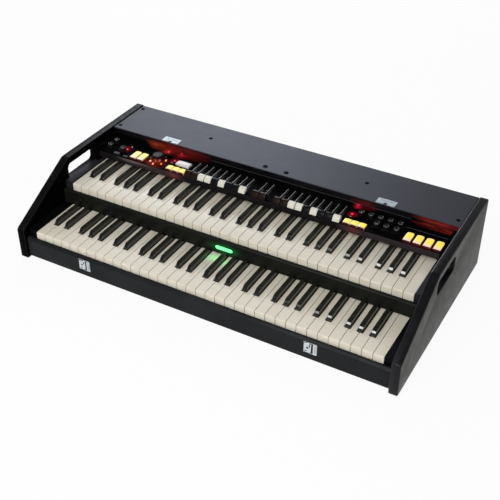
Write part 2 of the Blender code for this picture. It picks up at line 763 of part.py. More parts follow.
def make_control_panel():
    """A folded deck with a lip over the keys, a fascia under the lid and an end bracket each side."""
    deck_bottom = PANEL_TOP - PANEL_THICKNESS
    fascia_rear = FASCIA_FRONT + FASCIA_THICKNESS
    tail = fascia_rear + PANEL_TAIL
    corners = (
        (LIP_FRONT, LIP_BOTTOM, 0),
        (LIP_FRONT + PANEL_THICKNESS, LIP_BOTTOM, 0),
        (LIP_FRONT + PANEL_THICKNESS, deck_bottom, 0),
        (tail, deck_bottom, 0),
        (tail, PANEL_TOP, 0),
        (fascia_rear, PANEL_TOP, 0),
        (fascia_rear, LID_BOTTOM - FIT, 0),
        (FASCIA_FRONT, LID_BOTTOM - FIT, 0),
        (FASCIA_FRONT, PANEL_TOP, 0),
        (LIP_FRONT, PANEL_TOP, LIP_RADIUS),
    )
    half = INNER_HALF - FIT
    panel = profile_bar("control_panel", PANEL_BLACK, corners, -half + RUN, half - RUN)

    block_top = UPPER_KEYS_TOP + END_BLOCK_RISE
    brackets = []
    for side in (-1, 1):
        span = tuple(sorted((side * (half - BRACKET_WIDTH), side * half)))
        depth = (place(LIP_FRONT - BRACKET_OVERHANG), place(FASCIA_FRONT - LID_OVERHANG - FIT))
        brackets.append((span, depth, (block_top + FIT, PANEL_TOP + BRACKET_RISE)))
    boolean(panel, boxes_mesh("panel_brackets", brackets), "UNION")

    slot_half = NECK_WIDTH / 2 + SLOT_SIDE_GAP
    neck_front = LIP_FRONT + CAP_SETBACK + (CAP_DEPTH - NECK_DEPTH) / 2
    slot_front = place(neck_front - RUN)
    slot_rear = place(neck_front + NECK_DEPTH + DRAWBAR_TRAVEL + RUN)
    height = (deck_bottom - PANEL_THICKNESS, PANEL_TOP + PANEL_THICKNESS)
    cuts = [((x - slot_half, x + slot_half), (slot_front, slot_rear), height)
            for x, _ in drawbar_places()]
    tab_front = place(LIP_FRONT + TAB_SETBACK)
    cuts += [opening(x, TAB_WIDTH, tab_front, TAB_LENGTH) for x in tab_places()]
    group_width = 2 * BUTTON_PITCH + BUTTON_WIDTH
    button_front = place(LIP_FRONT + BUTTON_SETBACK)
    wide_front = place(LIP_FRONT + WIDE_BUTTON_SETBACK)
    cuts += [
        opening(LEFT_BUTTON_CENTRE, group_width, button_front, BUTTON_LENGTH),
        opening(RIGHT_BUTTON_CENTRE, group_width, button_front, BUTTON_LENGTH),
        opening(WIDE_BUTTON_CENTRE, WIDE_BUTTON_WIDTH, wide_front, BUTTON_LENGTH),
    ]
    boolean(panel, boxes_mesh("panel_openings", cuts), "DIFFERENCE")

    holes = [(x, place(LIP_FRONT + setback)) for x, setback in knob_places()]
    holes.append((SELECTOR_X, place(LIP_FRONT + SELECTOR_SETBACK)))
    round_cuts = cylinders_mesh(
        "panel_shaft_holes", holes, KNOB_SHAFT_RADIUS + RUN, *height, TURNED_STEPS,
    )
    boolean(panel, round_cuts, "DIFFERENCE")


def make_drawbar(name, x, material):
    """A cap above the deck, a neck through its slot and a stem that slides under it."""
    front = place(LIP_FRONT + CAP_SETBACK)
    rear = front + CAP_DEPTH
    cap_bottom = PANEL_TOP + FIT
    cap_top = cap_bottom + CAP_HEIGHT
    corners = (
        (front, cap_bottom), (rear, cap_bottom), (rear, cap_top), (rear - CAP_TOP_DEPTH, cap_top),
    )
    bar = add_object(name, extruded(name, [corners], CAP_WIDTH, across(x)), material=material)
    stem_top = PANEL_TOP - PANEL_THICKNESS - FIT
    neck_front = front + (CAP_DEPTH - NECK_DEPTH) / 2
    neck = (
        (x - NECK_WIDTH / 2, x + NECK_WIDTH / 2), (neck_front, neck_front + NECK_DEPTH),
        (stem_top - RUN, cap_bottom + RUN),
    )
    stem = (
        (x - STEM_WIDTH / 2, x + STEM_WIDTH / 2), (neck_front, neck_front + STEM_LENGTH),
        (stem_top - STEM_HEIGHT, stem_top),
    )
    boolean(bar, boxes_mesh(name + "_neck", [neck]), "UNION")
    boolean(bar, boxes_mesh(name + "_stem", [stem]), "UNION")
    set_origin(bar, (x, neck_front, stem_top))


def make_tab(name, x):
    """A long lit tab that tilts about its rear edge, level with the deck."""
    front = place(LIP_FRONT + TAB_SETBACK)
    rear = front + TAB_LENGTH
    bottom = PANEL_TOP - TAB_SHANK
    top = PANEL_TOP + TAB_RISE
    corners = (
        (front, bottom, 0), (rear, bottom, 0), (rear, top, TAB_REAR_RADIUS), (front, top, 0),
    )
    outline = rounded_outline(corners)
    tab = add_object(name, extruded(name, [outline], TAB_WIDTH, across(x)), material=TAB_AMBER)
    set_origin(tab, (x, rear, PANEL_TOP - PANEL_THICKNESS / 2))


def make_button(name, x, setback, width, material):
    front = place(LIP_FRONT + setback)
    rear = front + BUTTON_LENGTH
    low = PANEL_TOP - TAB_SHANK
    high = PANEL_TOP + BUTTON_RISE
    half = width / 2
    corners = (
        (x - half, front, BUTTON_CORNER), (x + half, front, BUTTON_CORNER),
        (x + half, rear, BUTTON_CORNER), (x - half, rear, BUTTON_CORNER),
    )
    outline = rounded_outline(corners, SMALL_ARC_STEPS)
    mesh = extruded(name, [outline], high - low, level((low + high) / 2))
    button = add_object(name, mesh, material=material)
    set_origin(button, (x, (front + rear) / 2, low))


def make_knob(name, x, setback, radius, height, material):
    """A turned knob on a shaft that goes down through the deck."""
    base = PANEL_TOP + RUN
    profile = (
        (0, height), (radius - KNOB_TAPER, height), (radius, 0),
        (KNOB_SHAFT_RADIUS, 0), (KNOB_SHAFT_RADIUS, -KNOB_SHAFT_LENGTH), (0, -KNOB_SHAFT_LENGTH),
    )
    turned(name, material, profile, (x, place(LIP_FRONT + setback), base))


def make_controls():
    for number, (x, material) in enumerate(drawbar_places(), start=1):
        make_drawbar(f"drawbar_{number:02d}", x, material)
    for number, x in enumerate(tab_places(), start=1):
        make_tab(f"tilt_tab_{number}", x)
    for number, (x, setback, width, material) in enumerate(button_places(), start=1):
        make_button(f"push_button_{number}", x, setback, width, material)
    for number, (x, setback) in enumerate(knob_places(), start=1):
        make_knob(f"knob_{number:02d}", x, setback, KNOB_RADIUS, KNOB_HEIGHT, KNOB_BLACK)
    spot = (SELECTOR_X, SELECTOR_SETBACK)
    make_knob("selector_knob", *spot, SELECTOR_RADIUS, SELECTOR_HEIGHT, SELECTOR_GREY)


# Electronics

def make_circuit_board():
    """The main board on its standoffs, with the mains transformer and a heat sink."""
    front = place(LOWER_KEYS_FRONT + SHARP_BAR_REAR + BOARD_TO_FRAME)
    rear = front + BOARD_DEPTH
    bottom = BASE_TOP + FIT + BOARD_STANDOFF
    top = bottom + BOARD_THICKNESS
    half = BOARD_LENGTH / 2
    board = box("main_circuit_board", BOARD_GREEN, (-half, half), (front, rear), (bottom, top))
    inset = BOARD_INSET
    feet = [(x, y) for x in (-half + inset, 0, half - inset) for y in (front + inset, rear - inset)]
    standoffs = cylinders_mesh(
        "standoffs", feet, STANDOFF_RADIUS, BASE_TOP + FIT, bottom + RUN, STANDOFF_STEPS,
    )
    boolean(board, standoffs, "UNION")
    length, depth, height = TRANSFORMER
    transformer = (
        (half - inset - length, half - inset), (rear - inset - depth, rear - inset),
        (bottom + RUN, top + height),
    )
    length, depth, height = HEAT_SINK
    sink = (
        (-half + 2 * inset, -half + 2 * inset + length), (rear - inset - depth, rear - inset),
        (bottom + RUN, top + height),
    )
    boolean(board, boxes_mesh("power_parts", [transformer, sink]), "UNION")


make_cheek("left_cheek", -1)
make_cheek("right_cheek", 1)
make_base_board()
make_front_rail()
make_divider_rail()
make_back_panel()
make_top_lid()
make_control_panel()
make_keyboards()
make_circuit_board()
make_controls()
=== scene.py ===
import json
import math

import bmesh
import bpy
from mathutils import Euler, Matrix, Vector

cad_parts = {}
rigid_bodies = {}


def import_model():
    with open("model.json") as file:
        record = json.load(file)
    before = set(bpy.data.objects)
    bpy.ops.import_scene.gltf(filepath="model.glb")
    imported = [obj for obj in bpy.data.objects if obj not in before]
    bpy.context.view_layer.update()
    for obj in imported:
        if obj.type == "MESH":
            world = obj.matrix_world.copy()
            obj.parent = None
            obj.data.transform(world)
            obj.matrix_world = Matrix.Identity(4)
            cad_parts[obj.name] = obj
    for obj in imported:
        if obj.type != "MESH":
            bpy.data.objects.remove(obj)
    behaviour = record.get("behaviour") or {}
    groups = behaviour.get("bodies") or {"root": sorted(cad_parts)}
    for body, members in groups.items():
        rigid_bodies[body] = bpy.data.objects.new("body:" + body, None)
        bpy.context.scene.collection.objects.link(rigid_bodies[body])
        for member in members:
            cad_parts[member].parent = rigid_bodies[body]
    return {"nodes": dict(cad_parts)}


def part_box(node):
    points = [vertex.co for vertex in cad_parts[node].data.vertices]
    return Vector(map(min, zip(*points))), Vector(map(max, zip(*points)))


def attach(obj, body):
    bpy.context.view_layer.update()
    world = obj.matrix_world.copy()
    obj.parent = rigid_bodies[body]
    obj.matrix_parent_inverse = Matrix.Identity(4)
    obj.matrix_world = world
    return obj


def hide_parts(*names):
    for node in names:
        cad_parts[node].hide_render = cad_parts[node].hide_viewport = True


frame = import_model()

scene = bpy.context.scene
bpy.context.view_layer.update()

# Lengths are in metres, apart from tables that say mm, and +Y goes from the player to the back.
# Heights and places that pieces share are read from the solids that they replace.
mm = 0.001
catchRise = 0.0014                      # the solids' catch plates stand out this far
buttonRise = 0.0055                     # from the deck to the top of a push button
capSetback = 0.0012                     # from the lip's front face to the drawbars
lidLow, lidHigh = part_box("top_lid")
lidTop = lidHigh.z - catchRise
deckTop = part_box("push_button_1")[1].z - buttonRise
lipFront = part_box("drawbar_01")[0].y - capSetback
railLow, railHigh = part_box("front_rail")
railFront = railLow.y + catchRise
sunk = 0.0002                           # how far pieces that meet reach into each other


# Camera, at the photograph's place

cameraSettings = {"place": (0.8263, -1.4652, 1.2563), "looks": (-0.39504, 0.70423, -0.58992),
                  "lens": 65.83, "sensor": 36.0, "clip": 0.05}


def stood(name, data, place, direction):    # a camera or a lamp that looks along a direction
    item = bpy.data.objects.new(name, data)
    item.location = place
    item.rotation_mode = "QUATERNION"
    item.rotation_quaternion = Vector(direction).to_track_quat("-Z", "Y")
    scene.collection.objects.link(item)
    return item


def placeCamera():
    data = bpy.data.cameras.new("photoCamera")
    data.lens = cameraSettings["lens"]
    data.sensor_width = cameraSettings["sensor"]
    data.clip_start = cameraSettings["clip"]
    scene.camera = stood("photoCamera", data, cameraSettings["place"], cameraSettings["looks"])


placeCamera()
scene.view_settings.view_transform = "Standard"
print("camera placed")


# Node helpers

def feed(tree, socket, value):              # from another node's output, or a plain value
    if isinstance(value, bpy.types.NodeSocket):
        tree.links.new(value, socket)
    elif value is not None:
        socket.default_value = (*value, 1) if socket.type == "RGBA" else value


def addNode(tree, kind, *values, settings=None, output=0, **inputs):    # gives one of its outputs
    node = tree.nodes.new(kind)
    for key, value in (settings or {}).items():
        setattr(node, key, value)
    for socket, value in zip(node.inputs, values):
        feed(tree, socket, value)
    for key, value in inputs.items():
        feed(tree, node.inputs[key.replace("_", " ")], value)
    return node.outputs[output]


def figured(tree, operation, *values, clamp=False):     # a Math node
    return addNode(tree, "ShaderNodeMath", *values, settings={"operation": operation, "use_clamp": clamp})


def attribute(tree, name):
    return addNode(tree, "ShaderNodeAttribute", settings={"attribute_name": name}, output="Fac")


def along(tree, vector, axis):              # one part of a vector
    return addNode(tree, "ShaderNodeSeparateXYZ", vector, output=axis)


def noise(tree, spot, size, detail=2.0, stretch=None):
    if stretch:
        spot = addNode(tree, "ShaderNodeMapping", spot, Scale=stretch)
    return addNode(tree, "ShaderNodeTexNoise", spot, Scale=1 / size, Detail=detail)


def ranged(tree, value, low, high, fromLow=0.32, fromHigh=0.68):
    return addNode(tree, "ShaderNodeMapRange", value, fromLow, fromHigh, low, high)


def mixed(tree, factor, first, second, blend="MIX"):
    node = tree.nodes.new("ShaderNodeMix")
    node.data_type = "RGBA"
    node.blend_type = blend
    colours = [socket for socket in node.inputs if socket.type == "RGBA"]
    for socket, value in zip((node.inputs[0], *colours), (factor, first, second)):
        feed(tree, socket, value)
    return next(socket for socket in node.outputs if socket.type == "RGBA")


def dimmed(tree, colour, share):
    return mixed(tree, 1.0, colour, share, "MULTIPLY")


def bumped(tree, height, depth, strength, before=None):
    return addNode(tree, "ShaderNodeBump", strength, depth, Height=height, Normal=before)


material = {}


def startMaterial(name):
    material[name] = bpy.data.materials.new(name)
    material[name].use_nodes = True
    tree = material[name].node_tree
    return tree, addNode(tree, "ShaderNodeTexCoord", output="Object")


def setShader(tree, values):                # by the names of the shader's own inputs
    sockets = tree.nodes["Principled BSDF"].inputs
    for label, value in values.items():
        if label in sockets:
            feed(tree, sockets[label], value)


# A painted or moulded surface: patches of colour, uneven gloss and a fine grain

surfaceSettings = {"patchDetail": 3.0, "glossSize": 0.25, "glossDetail": 4.0, "grainStrength": 0.8,
                   "peelSize": 5, "peelDepth": 1.5, "peelStrength": 0.5}
plated = {"stretch": (1, 8, 1), "Metallic": 1}
finishes = {
    # dark and light colour, size of the patches in mm, fleck, smoothest and roughest, size and
    # depth of the grain in mm, specular level, and what is special
    "cabinetPaint": ((0.006, 0.006, 0.0042), (0.011, 0.0115, 0.0085), 90, 0.3, 0.40, 0.48, 1.2, 0.1, 0.155,
                     {"Specular Tint": (0.97, 1, 0.84)}),
    "cheekEdge": ((0.003, 0.003, 0.004), (0.006, 0.006, 0.008), 50, 0.3, 0.34, 0.44, 1.2, 0.08, 0.18,
                  {"Specular Tint": (0.90, 0.92, 1)}),
    # a much darker copy of the cheek paint: painted shade on the inner sides and the left cheek's front
    "cheekInner": ((0.0008, 0.0008, 0.001), (0.0016, 0.0016, 0.002), 50, 0.3, 0.34, 0.44, 1.2, 0.08, 0.015),
    # a copy with less sheen for the left cheek's edges, so they read dimmer than the right's: painted shade
    "cheekDim": ((0.0035, 0.0035, 0.0045), (0.007, 0.007, 0.0085), 50, 0.3, 0.36, 0.46, 1.2, 0.08, 0.05),
    "edgeGloss": ((0.003, 0.003, 0.004), (0.006, 0.006, 0.007), 30, 0.2, 0.36, 0.44, 1.2, 0.05, 0.5),
    "lidPaint": ((0.005, 0.005, 0.007), (0.008, 0.008, 0.011), 120, 0.2, 0.56, 0.58, 1.2, 0.1, 0.75,
                 {"Specular Tint": (0.76, 0.81, 1)}),
    # a darker copy of the lid paint with little sheen, for the lid's front faces: painted shade
    "lidFront": ((0.003, 0.003, 0.004), (0.007, 0.007, 0.009), 50, 0.2, 0.30, 0.40, 1.2, 0.05, 0.10),
    "railPaint": ((0.011, 0.012, 0.013), (0.017, 0.018, 0.020), 70, 0.25, 0.34, 0.44, 1.0, 0.06, 0.06),
    # a darker copy of the rail paint for the rail under the upper manual: painted shade
    "dividerPaint": ((0.007, 0.0075, 0.0062), (0.012, 0.013, 0.0108), 70, 0.25, 0.30, 0.40, 1.0, 0.04, 0.08),
    "panelGloss": ((0.0015, 0.0015, 0.0018), (0.0025, 0.0025, 0.003), 50, 0.1, 0.16, 0.22, 1, 0.003, 0.0008),
    # the lip has painted shade under the drawbar caps and at its left end
    "lipSatin": ((0.022, 0.017, 0.019), (0.034, 0.027, 0.030), 30, 0.15, 0.34, 0.44, 1.0, 0.02, 0.08,
                 {"shade": ((0.0066, 0.185, 0.215, 0.28), (-0.44, 0.05, 0.16, 0.25))}),
    "framePaint": ((0.012, 0.0115, 0.016), (0.020, 0.019, 0.026), 50, 0.15, 0.45, 0.55, 0.8, 0.04, 0.15),
    "frameBlack": ((0.0018, 0.0018, 0.0024), (0.0035, 0.0035, 0.0045), 50, 0.15, 0.4, 0.5, 0.8, 0.04, 0.04),
    "plywood": ((0.16, 0.105, 0.06), (0.30, 0.21, 0.13), 60, 0.25, 0.6, 0.8, 4, 0.2, 0.5,
                {"stretch": (0.1, 1, 1)}),
    "ivoryPlastic": ((0.71, 0.662, 0.562), (0.735, 0.688, 0.592), 45, 0.01, 0.28, 0.36, 0.9, 0.004, 0.2,
                     {"tint": 0.03, "Subsurface Weight": 0.08, "Subsurface Scale": 0.002}),
    "ebonyGloss": ((0.004, 0.004, 0.0035), (0.007, 0.007, 0.006), 20, 0.15, 0.09, 0.15, 0.7, 0.01, 0.6),
    "ebonyTop": ((0.009, 0.009, 0.006), (0.021, 0.021, 0.0145), 10, 0.45, 0.38, 0.50, 0.9, 0.03, 0.06,
                 {"Specular Tint": (1, 1, 0.84)}),
    "whiteCap": ((0.64, 0.62, 0.54), (0.74, 0.72, 0.65), 12, 0.03, 0.3, 0.4, 0.6, 0.01, 0.15),
    "blackCap": ((0.004, 0.004, 0.006), (0.008, 0.008, 0.011), 12, 0.1, 0.22, 0.32, 0.6, 0.01, 0.05),
    "brownCap": ((0.010, 0.006, 0.004), (0.022, 0.012, 0.009), 12, 0.12, 0.24, 0.34, 0.6, 0.01, 0.06),
    "whiteButton": ((0.60, 0.61, 0.59), (0.68, 0.69, 0.67), 10, 0.03, 0.3, 0.4, 0.6, 0.01, 0.5),
    "knobPlastic": ((0.004, 0.004, 0.005), (0.008, 0.008, 0.009), 10, 0.15, 0.20, 0.28, 0.5, 0.01, 0.9,
                    {"Coat Weight": 1, "Coat Roughness": 0.15}),
    "knobTop": ((0.004, 0.004, 0.005), (0.009, 0.009, 0.010), 10, 0.2, 0.36, 0.46, 0.5, 0.02, 0.03),
    "selectorSide": ((0.006, 0.005, 0.006), (0.010, 0.009, 0.010), 10, 0.15, 0.16, 0.24, 0.5, 0.01, 0.12),
    "selectorTop": ((0.010, 0.011, 0.015), (0.017, 0.018, 0.025), 10, 0.12, 0.38, 0.5, 0.5, 0.02, 0.08),
    "stemPlastic": ((0.006, 0.006, 0.006), (0.012, 0.012, 0.012), 20, 0.1, 0.4, 0.5, 0.6, 0.01, 0.1),
    # light metal on one wall of each slot only: partly a painted highlight
    "slotMetalAndHighlight": ((0.34, 0.35, 0.34), (0.44, 0.45, 0.43), 20, 0.08, 0.3, 0.45, 0.6, 0.01, 0.5),
    "trimMetal": ((0.028, 0.028, 0.032), (0.05, 0.05, 0.055), 30, 0.1, 0.3, 0.45, 0.6, 0.01, 0.5),
    "nickelPlate": ((0.56, 0.60, 0.63), (0.68, 0.72, 0.75), 8, 0.02, 0.28, 0.38, 0.7, 0.005, 0.5, plated),
    "zincPlate": ((0.45, 0.50, 0.52), (0.56, 0.62, 0.64), 8, 0.04, 0.54, 0.64, 0.7, 0.005, 0.5, plated),
    "blackScrew": ((0.004, 0.004, 0.009), (0.008, 0.008, 0.016), 4, 0.15, 0.40, 0.52, 0.4, 0.01, 0.015),
    "jackPlastic": ((0.012, 0.012, 0.013), (0.022, 0.022, 0.023), 10, 0.12, 0.35, 0.5, 0.5, 0.02, 0.5),
    "printWhite": ((0.30, 0.30, 0.29), (0.38, 0.38, 0.37), 4, 0.05, 0.4, 0.5, 0.4, 0.01, 0.5),
    "pointerGrey": ((0.026, 0.026, 0.026), (0.042, 0.042, 0.042), 4, 0.05, 0.4, 0.5, 0.4, 0.01, 0.05),
    "printGrey": ((0.07, 0.07, 0.08), (0.11, 0.11, 0.12), 4, 0.1, 0.5, 0.6, 0.4, 0.01, 0.02),
    "darkSteel": ((0.20, 0.20, 0.21), (0.30, 0.30, 0.31), 10, 0.08, 0.3, 0.45, 0.6, 0.01, 0.5,
                  {"Metallic": 1}),
    "boardLacquer": ((0.010, 0.075, 0.030), (0.020, 0.120, 0.050), 20, 0.15, 0.3, 0.5, 1.2, 0.03, 0.5),
}


def paintedSurface(name, dark, light, patch, fleck, smoothest, roughest, grain, depth, specular, more=None):
    more = more or {}
    s = surfaceSettings
    tree, spot = startMaterial(name)
    patches = noise(tree, spot, patch * mm, s["patchDetail"])
    colour = mixed(tree, ranged(tree, patches, 0, 1), dark, light)
    if "tint" in more:                      # each key is a little different
        own = ranged(tree, attribute(tree, "ownTint"), 1 - more["tint"], 1.0, 0, 1)
        colour = dimmed(tree, colour, own)
    grains = noise(tree, spot, grain * mm, stretch=more.get("stretch"))
    colour = dimmed(tree, colour, ranged(tree, grains, 1 - fleck, 1 + fleck))
    for centre, near, far, share in more.get("shade", ()):      # painted shade: darker stretches along X
        away = figured(tree, "ABSOLUTE", figured(tree, "SUBTRACT", along(tree, spot, "X"), centre))
        colour = dimmed(tree, colour, ranged(tree, away, share, 1.0, near, far))
    gloss = noise(tree, spot, patch * mm * s["glossSize"], s["glossDetail"])
    peel = noise(tree, spot, grain * mm * s["peelSize"])
    peel = bumped(tree, peel, depth * mm * s["peelDepth"], s["peelStrength"])
    setShader(tree, {"Base Color": colour, "Roughness": ranged(tree, gloss, smoothest, roughest),
                     "Normal": bumped(tree, grains, depth * mm, s["grainStrength"], peel),
                     "Specular IOR Level": specular, **more})


for finishName, look in finishes.items():
    paintedSurface(finishName, *look)
print("finishes: %d painted or moulded" % len(material))


# Lit pieces: the colour glows from inside, pales where the light leaks and dims down the flanks

def screenColour(*levels):                  # a colour as a screen shows it, 0 to 255, made linear
    return [value / 12.92 if value <= 0.04045 else ((value + 0.055) / 1.055) ** 2.4
            for value in (level / 255 for level in levels)]


glows = {
    # the light, where it pales, where it is deep, and its strength
    "amberLight": (screenColour(255, 234, 92), screenColour(250, 216, 204), (0.05, 0.006, 0.006), 0.82),
    "redLight": ((0.82, 0.08, 0.15), (0.85, 0.13, 0.22), (0.3, 0, 0), 0.8),
    "dimRedLight": ((0.50, 0.012, 0.045), (0.55, 0.03, 0.07), (0.2, 0, 0), 0.8),
    "orangeLight": ((1.0, 0.26, 0.07), (1.0, 0.40, 0.15), (0.4, 0.02, 0), 0.95),
    "greenLight": ((0.10, 1.0, 0.19), (0.12, 1.0, 0.21), (0.02, 0.3, 0.05), 3.4),
}
litSettings = {"cloudSize": 0.004, "cloud": 0.06, "flankTop": 0.35, "flankFrom": 0.001, "glossSize": 0.006,
               "rough": (0.22, 0.36), "unlit": (0.2, 0.2, 0.2), "specular": 0.3}


def litSurface(name, core, pale, deep, strength):
    s = litSettings
    tree, spot = startMaterial(name)
    cloud = ranged(tree, noise(tree, spot, s["cloudSize"]), -s["cloud"], s["cloud"])
    colour = mixed(tree, figured(tree, "ADD", attribute(tree, "pale"), cloud, clamp=True), core, pale)
    depth = ranged(tree, along(tree, spot, "Z"), 1.0, s["flankTop"], deckTop + s["flankFrom"],
                   deckTop + buttonRise)
    colour = mixed(tree, figured(tree, "MULTIPLY", attribute(tree, "flank"), depth), colour, deep)
    gloss = ranged(tree, noise(tree, spot, s["glossSize"]), *s["rough"])
    setShader(tree, {"Base Color": dimmed(tree, colour, s["unlit"]), "Emission Color": colour,
                     "Roughness": gloss, "Emission Strength": strength, "Specular IOR Level": s["specular"]})


for glowName, look in glows.items():
    litSurface(glowName, *look)
print("finishes: %d lit" % len(glows))


# Painted light: glow from the lamps, painted as emission onto the surfaces round them

redSpill = (1.0, 0.055, 0.035)
emberSpill = (1.0, 0.14, 0.020)
crimsonSpill = (1.0, 0.012, 0.060)
spills = {
    # place in mm, reach along X, Y and Z in mm, colour, strength and how fast it fades
    "panelGloss": [
        ((-317, 113.5, 155.5), (30, 14, 9), emberSpill, 0.25, 1.3),
        ((-256, 113.5, 154.5), (94, 22, 12), redSpill, 0.095, 0.8),
        ((226, 113.5, 154.5), (32, 12, 10), redSpill, 0.05, 1.2),
        ((432, 113.5, 153), (100, 10, 7.5), redSpill, 0.10, 0.5),
        ((372, 113.5, 154), (24, 12, 4), emberSpill, 0.07, 1.2),
        ((422, 113.5, 153), (18, 12, 4), emberSpill, 0.05, 1.2),
        ((-378, 70, 150), (21, 20, 8), crimsonSpill, 0.34, 2),
        ((-284, 108, 150), (20, 18, 8), redSpill, 0.34, 2),
        ((-244, 108, 150), (18, 18, 8), crimsonSpill, 0.24, 2),
        ((-244, 80, 150), (19, 18, 8), crimsonSpill, 0.30, 2),
        ((214, 79, 150), (16, 17, 8), crimsonSpill, 0.44, 2),
        ((213, 112, 152), (13.5, 14, 10), crimsonSpill, 0.80, 2),
        ((248, 113.5, 155), (14, 6, 5), crimsonSpill, 0.10, 1.6),
        ((-327, 50, 150), (30, 28, 6), redSpill, 0.05, 2),
        ((-281, 52, 150), (38, 36, 6), redSpill, 0.15, 1.2),
        ((-281, 48, 150), (30, 18, 6), emberSpill, 0.07, 1.4),
        ((-217.5, 40, 147), (36, 22, 12), redSpill, 0.10, 2),
        ((235, 40, 147), (36, 22, 12), redSpill, 0.10, 2),
        ((387, 50, 150), (62, 30, 6), redSpill, 0.08, 2),
    ],
    "lipSatin": [
        ((-217.5, 31.5, 144), (34, 10, 16), redSpill, 0.10, 2),
        ((235, 31.5, 144), (34, 10, 16), redSpill, 0.08, 2),
        ((-285, 31.5, 145), (60, 10, 14), emberSpill, 0.02, 2),
        # a pale patch of painted light along the lip's upper edge
        ((-334, 31.5, 148), (50, 10, 7), (1.0, 0.78, 0.72), 0.10, 0.9),
    ],
    "lidFront": [
        ((-318, 112, 160), (34, 6, 7), emberSpill, 0.22, 1.2),
        ((-256, 112, 163), (96, 6, 12), redSpill, 0.10, 0.7),
        ((226, 112, 164), (36, 6, 8), redSpill, 0.08, 1),
        ((404, 112, 167.5), (70, 6, 9), redSpill, 0.12, 0.6),
        ((385, 112, 166), (40, 6, 4), emberSpill, 0.05, 1.2),
    ],
    "selectorSide": [
        ((-283, 53, 150), (20, 12, 11), redSpill, 0.16, 1),
        ((-278, 52, 151), (12, 8, 5), emberSpill, 0.10, 1),
        ((-282, 54.5, 152.5), (2.4, 6, 5.5), (1.0, 0.30, 0.10), 0.55, 1),
        ((-273.3, 59.1, 153.1), (3.2, 6, 5.5), (1.0, 0.22, 0.16), 0.50, 1),
    ],
    "knobPlastic": [((236, 98, 158), (20, 14, 12), (1.0, 0.26, 0.12), 0.14, 1.2)],
    "whiteButton": [((-210, 64, 153), (18, 6, 3), (1.0, 0.30, 0.55), 0.10, 1)],
    "dividerPaint": [((-7, -95.4, 88), (55, 12, 18), (0.02, 0.55, 0.16), 0.30, 2)],
    "ivoryPlastic": [
        ((-20, -112, 70), (30, 26, 6), (0.03, 1.0, 0.22), 0.50, 2),
        ((12, -118, 70), (26, 22, 6), (0.03, 1.0, 0.22), 0.40, 2),
        ((-44, -116, 70), (22, 26, 6), (0.03, 1.0, 0.26), 0.32, 2),
    ],
}
# On these finishes the painted glow breaks into lines along the cabinet
streakSettings = {"on": ("lidFront", "panelGloss"), "height": 0.0026, "stretch": (0.08, 1, 1),
                  "low": 0.3, "high": 1.6}


# paints each spot of spilled light as an emissive patch that fades out from its place
def addSpills(name, spots):
    s = streakSettings
    tree = material[name].node_tree
    spot = addNode(tree, "ShaderNodeTexCoord", output="Object")
    total = (0, 0, 0)
    for place, reach, colour, strength, power in spots:
        shrunk = addNode(tree, "ShaderNodeMapping", spot, Vector(place) * mm, Scale=Vector(reach) * mm,
                         settings={"vector_type": "TEXTURE"})
        away = addNode(tree, "ShaderNodeVectorMath", shrunk, settings={"operation": "LENGTH"}, output="Value")
        fade = figured(tree, "POWER", ranged(tree, away, 1, 0, 0, 1), power)
        patch = mixed(tree, fade, (0, 0, 0), [strength * channel for channel in colour])
        total = mixed(tree, 1.0, total, patch, "ADD")
    if name in s["on"]:
        lines = noise(tree, spot, s["height"], stretch=s["stretch"])
        total = dimmed(tree, total, ranged(tree, lines, s["low"], s["high"]))
    setShader(tree, {"Emission Color": total, "Emission Strength": 1.0})


for spillName, spots in spills.items():
    addSpills(spillName, spots)
print("spilled light: %d spots" % sum(len(spots) for spots in spills.values()))


# Mesh helpers

def newObject(name, shape, *finishNames):   # from a mesh, or from a bmesh that it uses up
    mesh = shape
    if isinstance(shape, bmesh.types.BMesh):
        bmesh.ops.recalc_face_normals(shape, faces=shape.faces)
        mesh = bpy.data.meshes.new(name)
        shape.to_mesh(mesh)
        shape.free()
    item = bpy.data.objects.new(name, mesh)
    scene.collection.objects.link(item)
    for finishName in finishNames:
        mesh.materials.append(material[finishName])
    return item


def keepEvaluated(item):                    # the modifiers' result becomes the item's own plain mesh
    bpy.context.view_layer.update()
    evaluated = item.evaluated_get(bpy.context.evaluated_depsgraph_get())
    mesh = bpy.data.meshes.new_from_object(evaluated)
    item.modifiers.clear()
    old, item.data = item.data, mesh
    bpy.data.meshes.remove(old)
    return item


def modified(item, kind, **settings):
    modifier = item.modifiers.new(kind, kind)
    for key, value in settings.items():
        setattr(modifier, key, value)
    return keepEvaluated(item)


def softened(item, width, steps=2, angle=0.5):      # rounds the edges that are sharper than this
    item.data.shade_smooth()
    return modified(item, "BEVEL", width=width, segments=steps, limit_method="ANGLE", angle_limit=angle,
                    harden_normals=True)


def smoothed(item, angle=0.6):
    item.data.shade_smooth()
    item.data.set_sharp_from_angle(angle=angle)
    return item


def polar(radius, angle, x=0, y=0):
    return x + radius * math.cos(angle), y + radius * math.sin(angle)


def block(shape, low, high, finish=0):
    size = Vector(high) - Vector(low)
    matrix = Matrix.Translation((Vector(high) + Vector(low)) / 2) @ Matrix.Diagonal((*size, 1))
    made = bmesh.ops.create_cube(shape, size=1.0, matrix=matrix)
    for face in {face for vert in made["verts"] for face in vert.link_faces}:
        face.material_index = finish


def boxed(name, low, high, *finishNames):   # an object that is one block
    shape = bmesh.new()
    block(shape, low, high)
    return newObject(name, shape, *finishNames)


def lofted(shape, rings, finish=0):         # a closed skin over rings with equal numbers of points
    rows = [[shape.verts.new(point) for point in ring] for ring in rings]
    count = len(rows[0])
    faces = [shape.faces.new(rows[0]), shape.faces.new(list(reversed(rows[-1])))]
    for first, second in zip(rows, rows[1:]):
        for index in range(count):
            after = (index + 1) % count
            faces.append(shape.faces.new((first[index], second[index], second[after], first[after])))
    for face in faces:
        face.material_index = finish


poleRadius = 0.0001                         # a turned shape is closed by a face this small


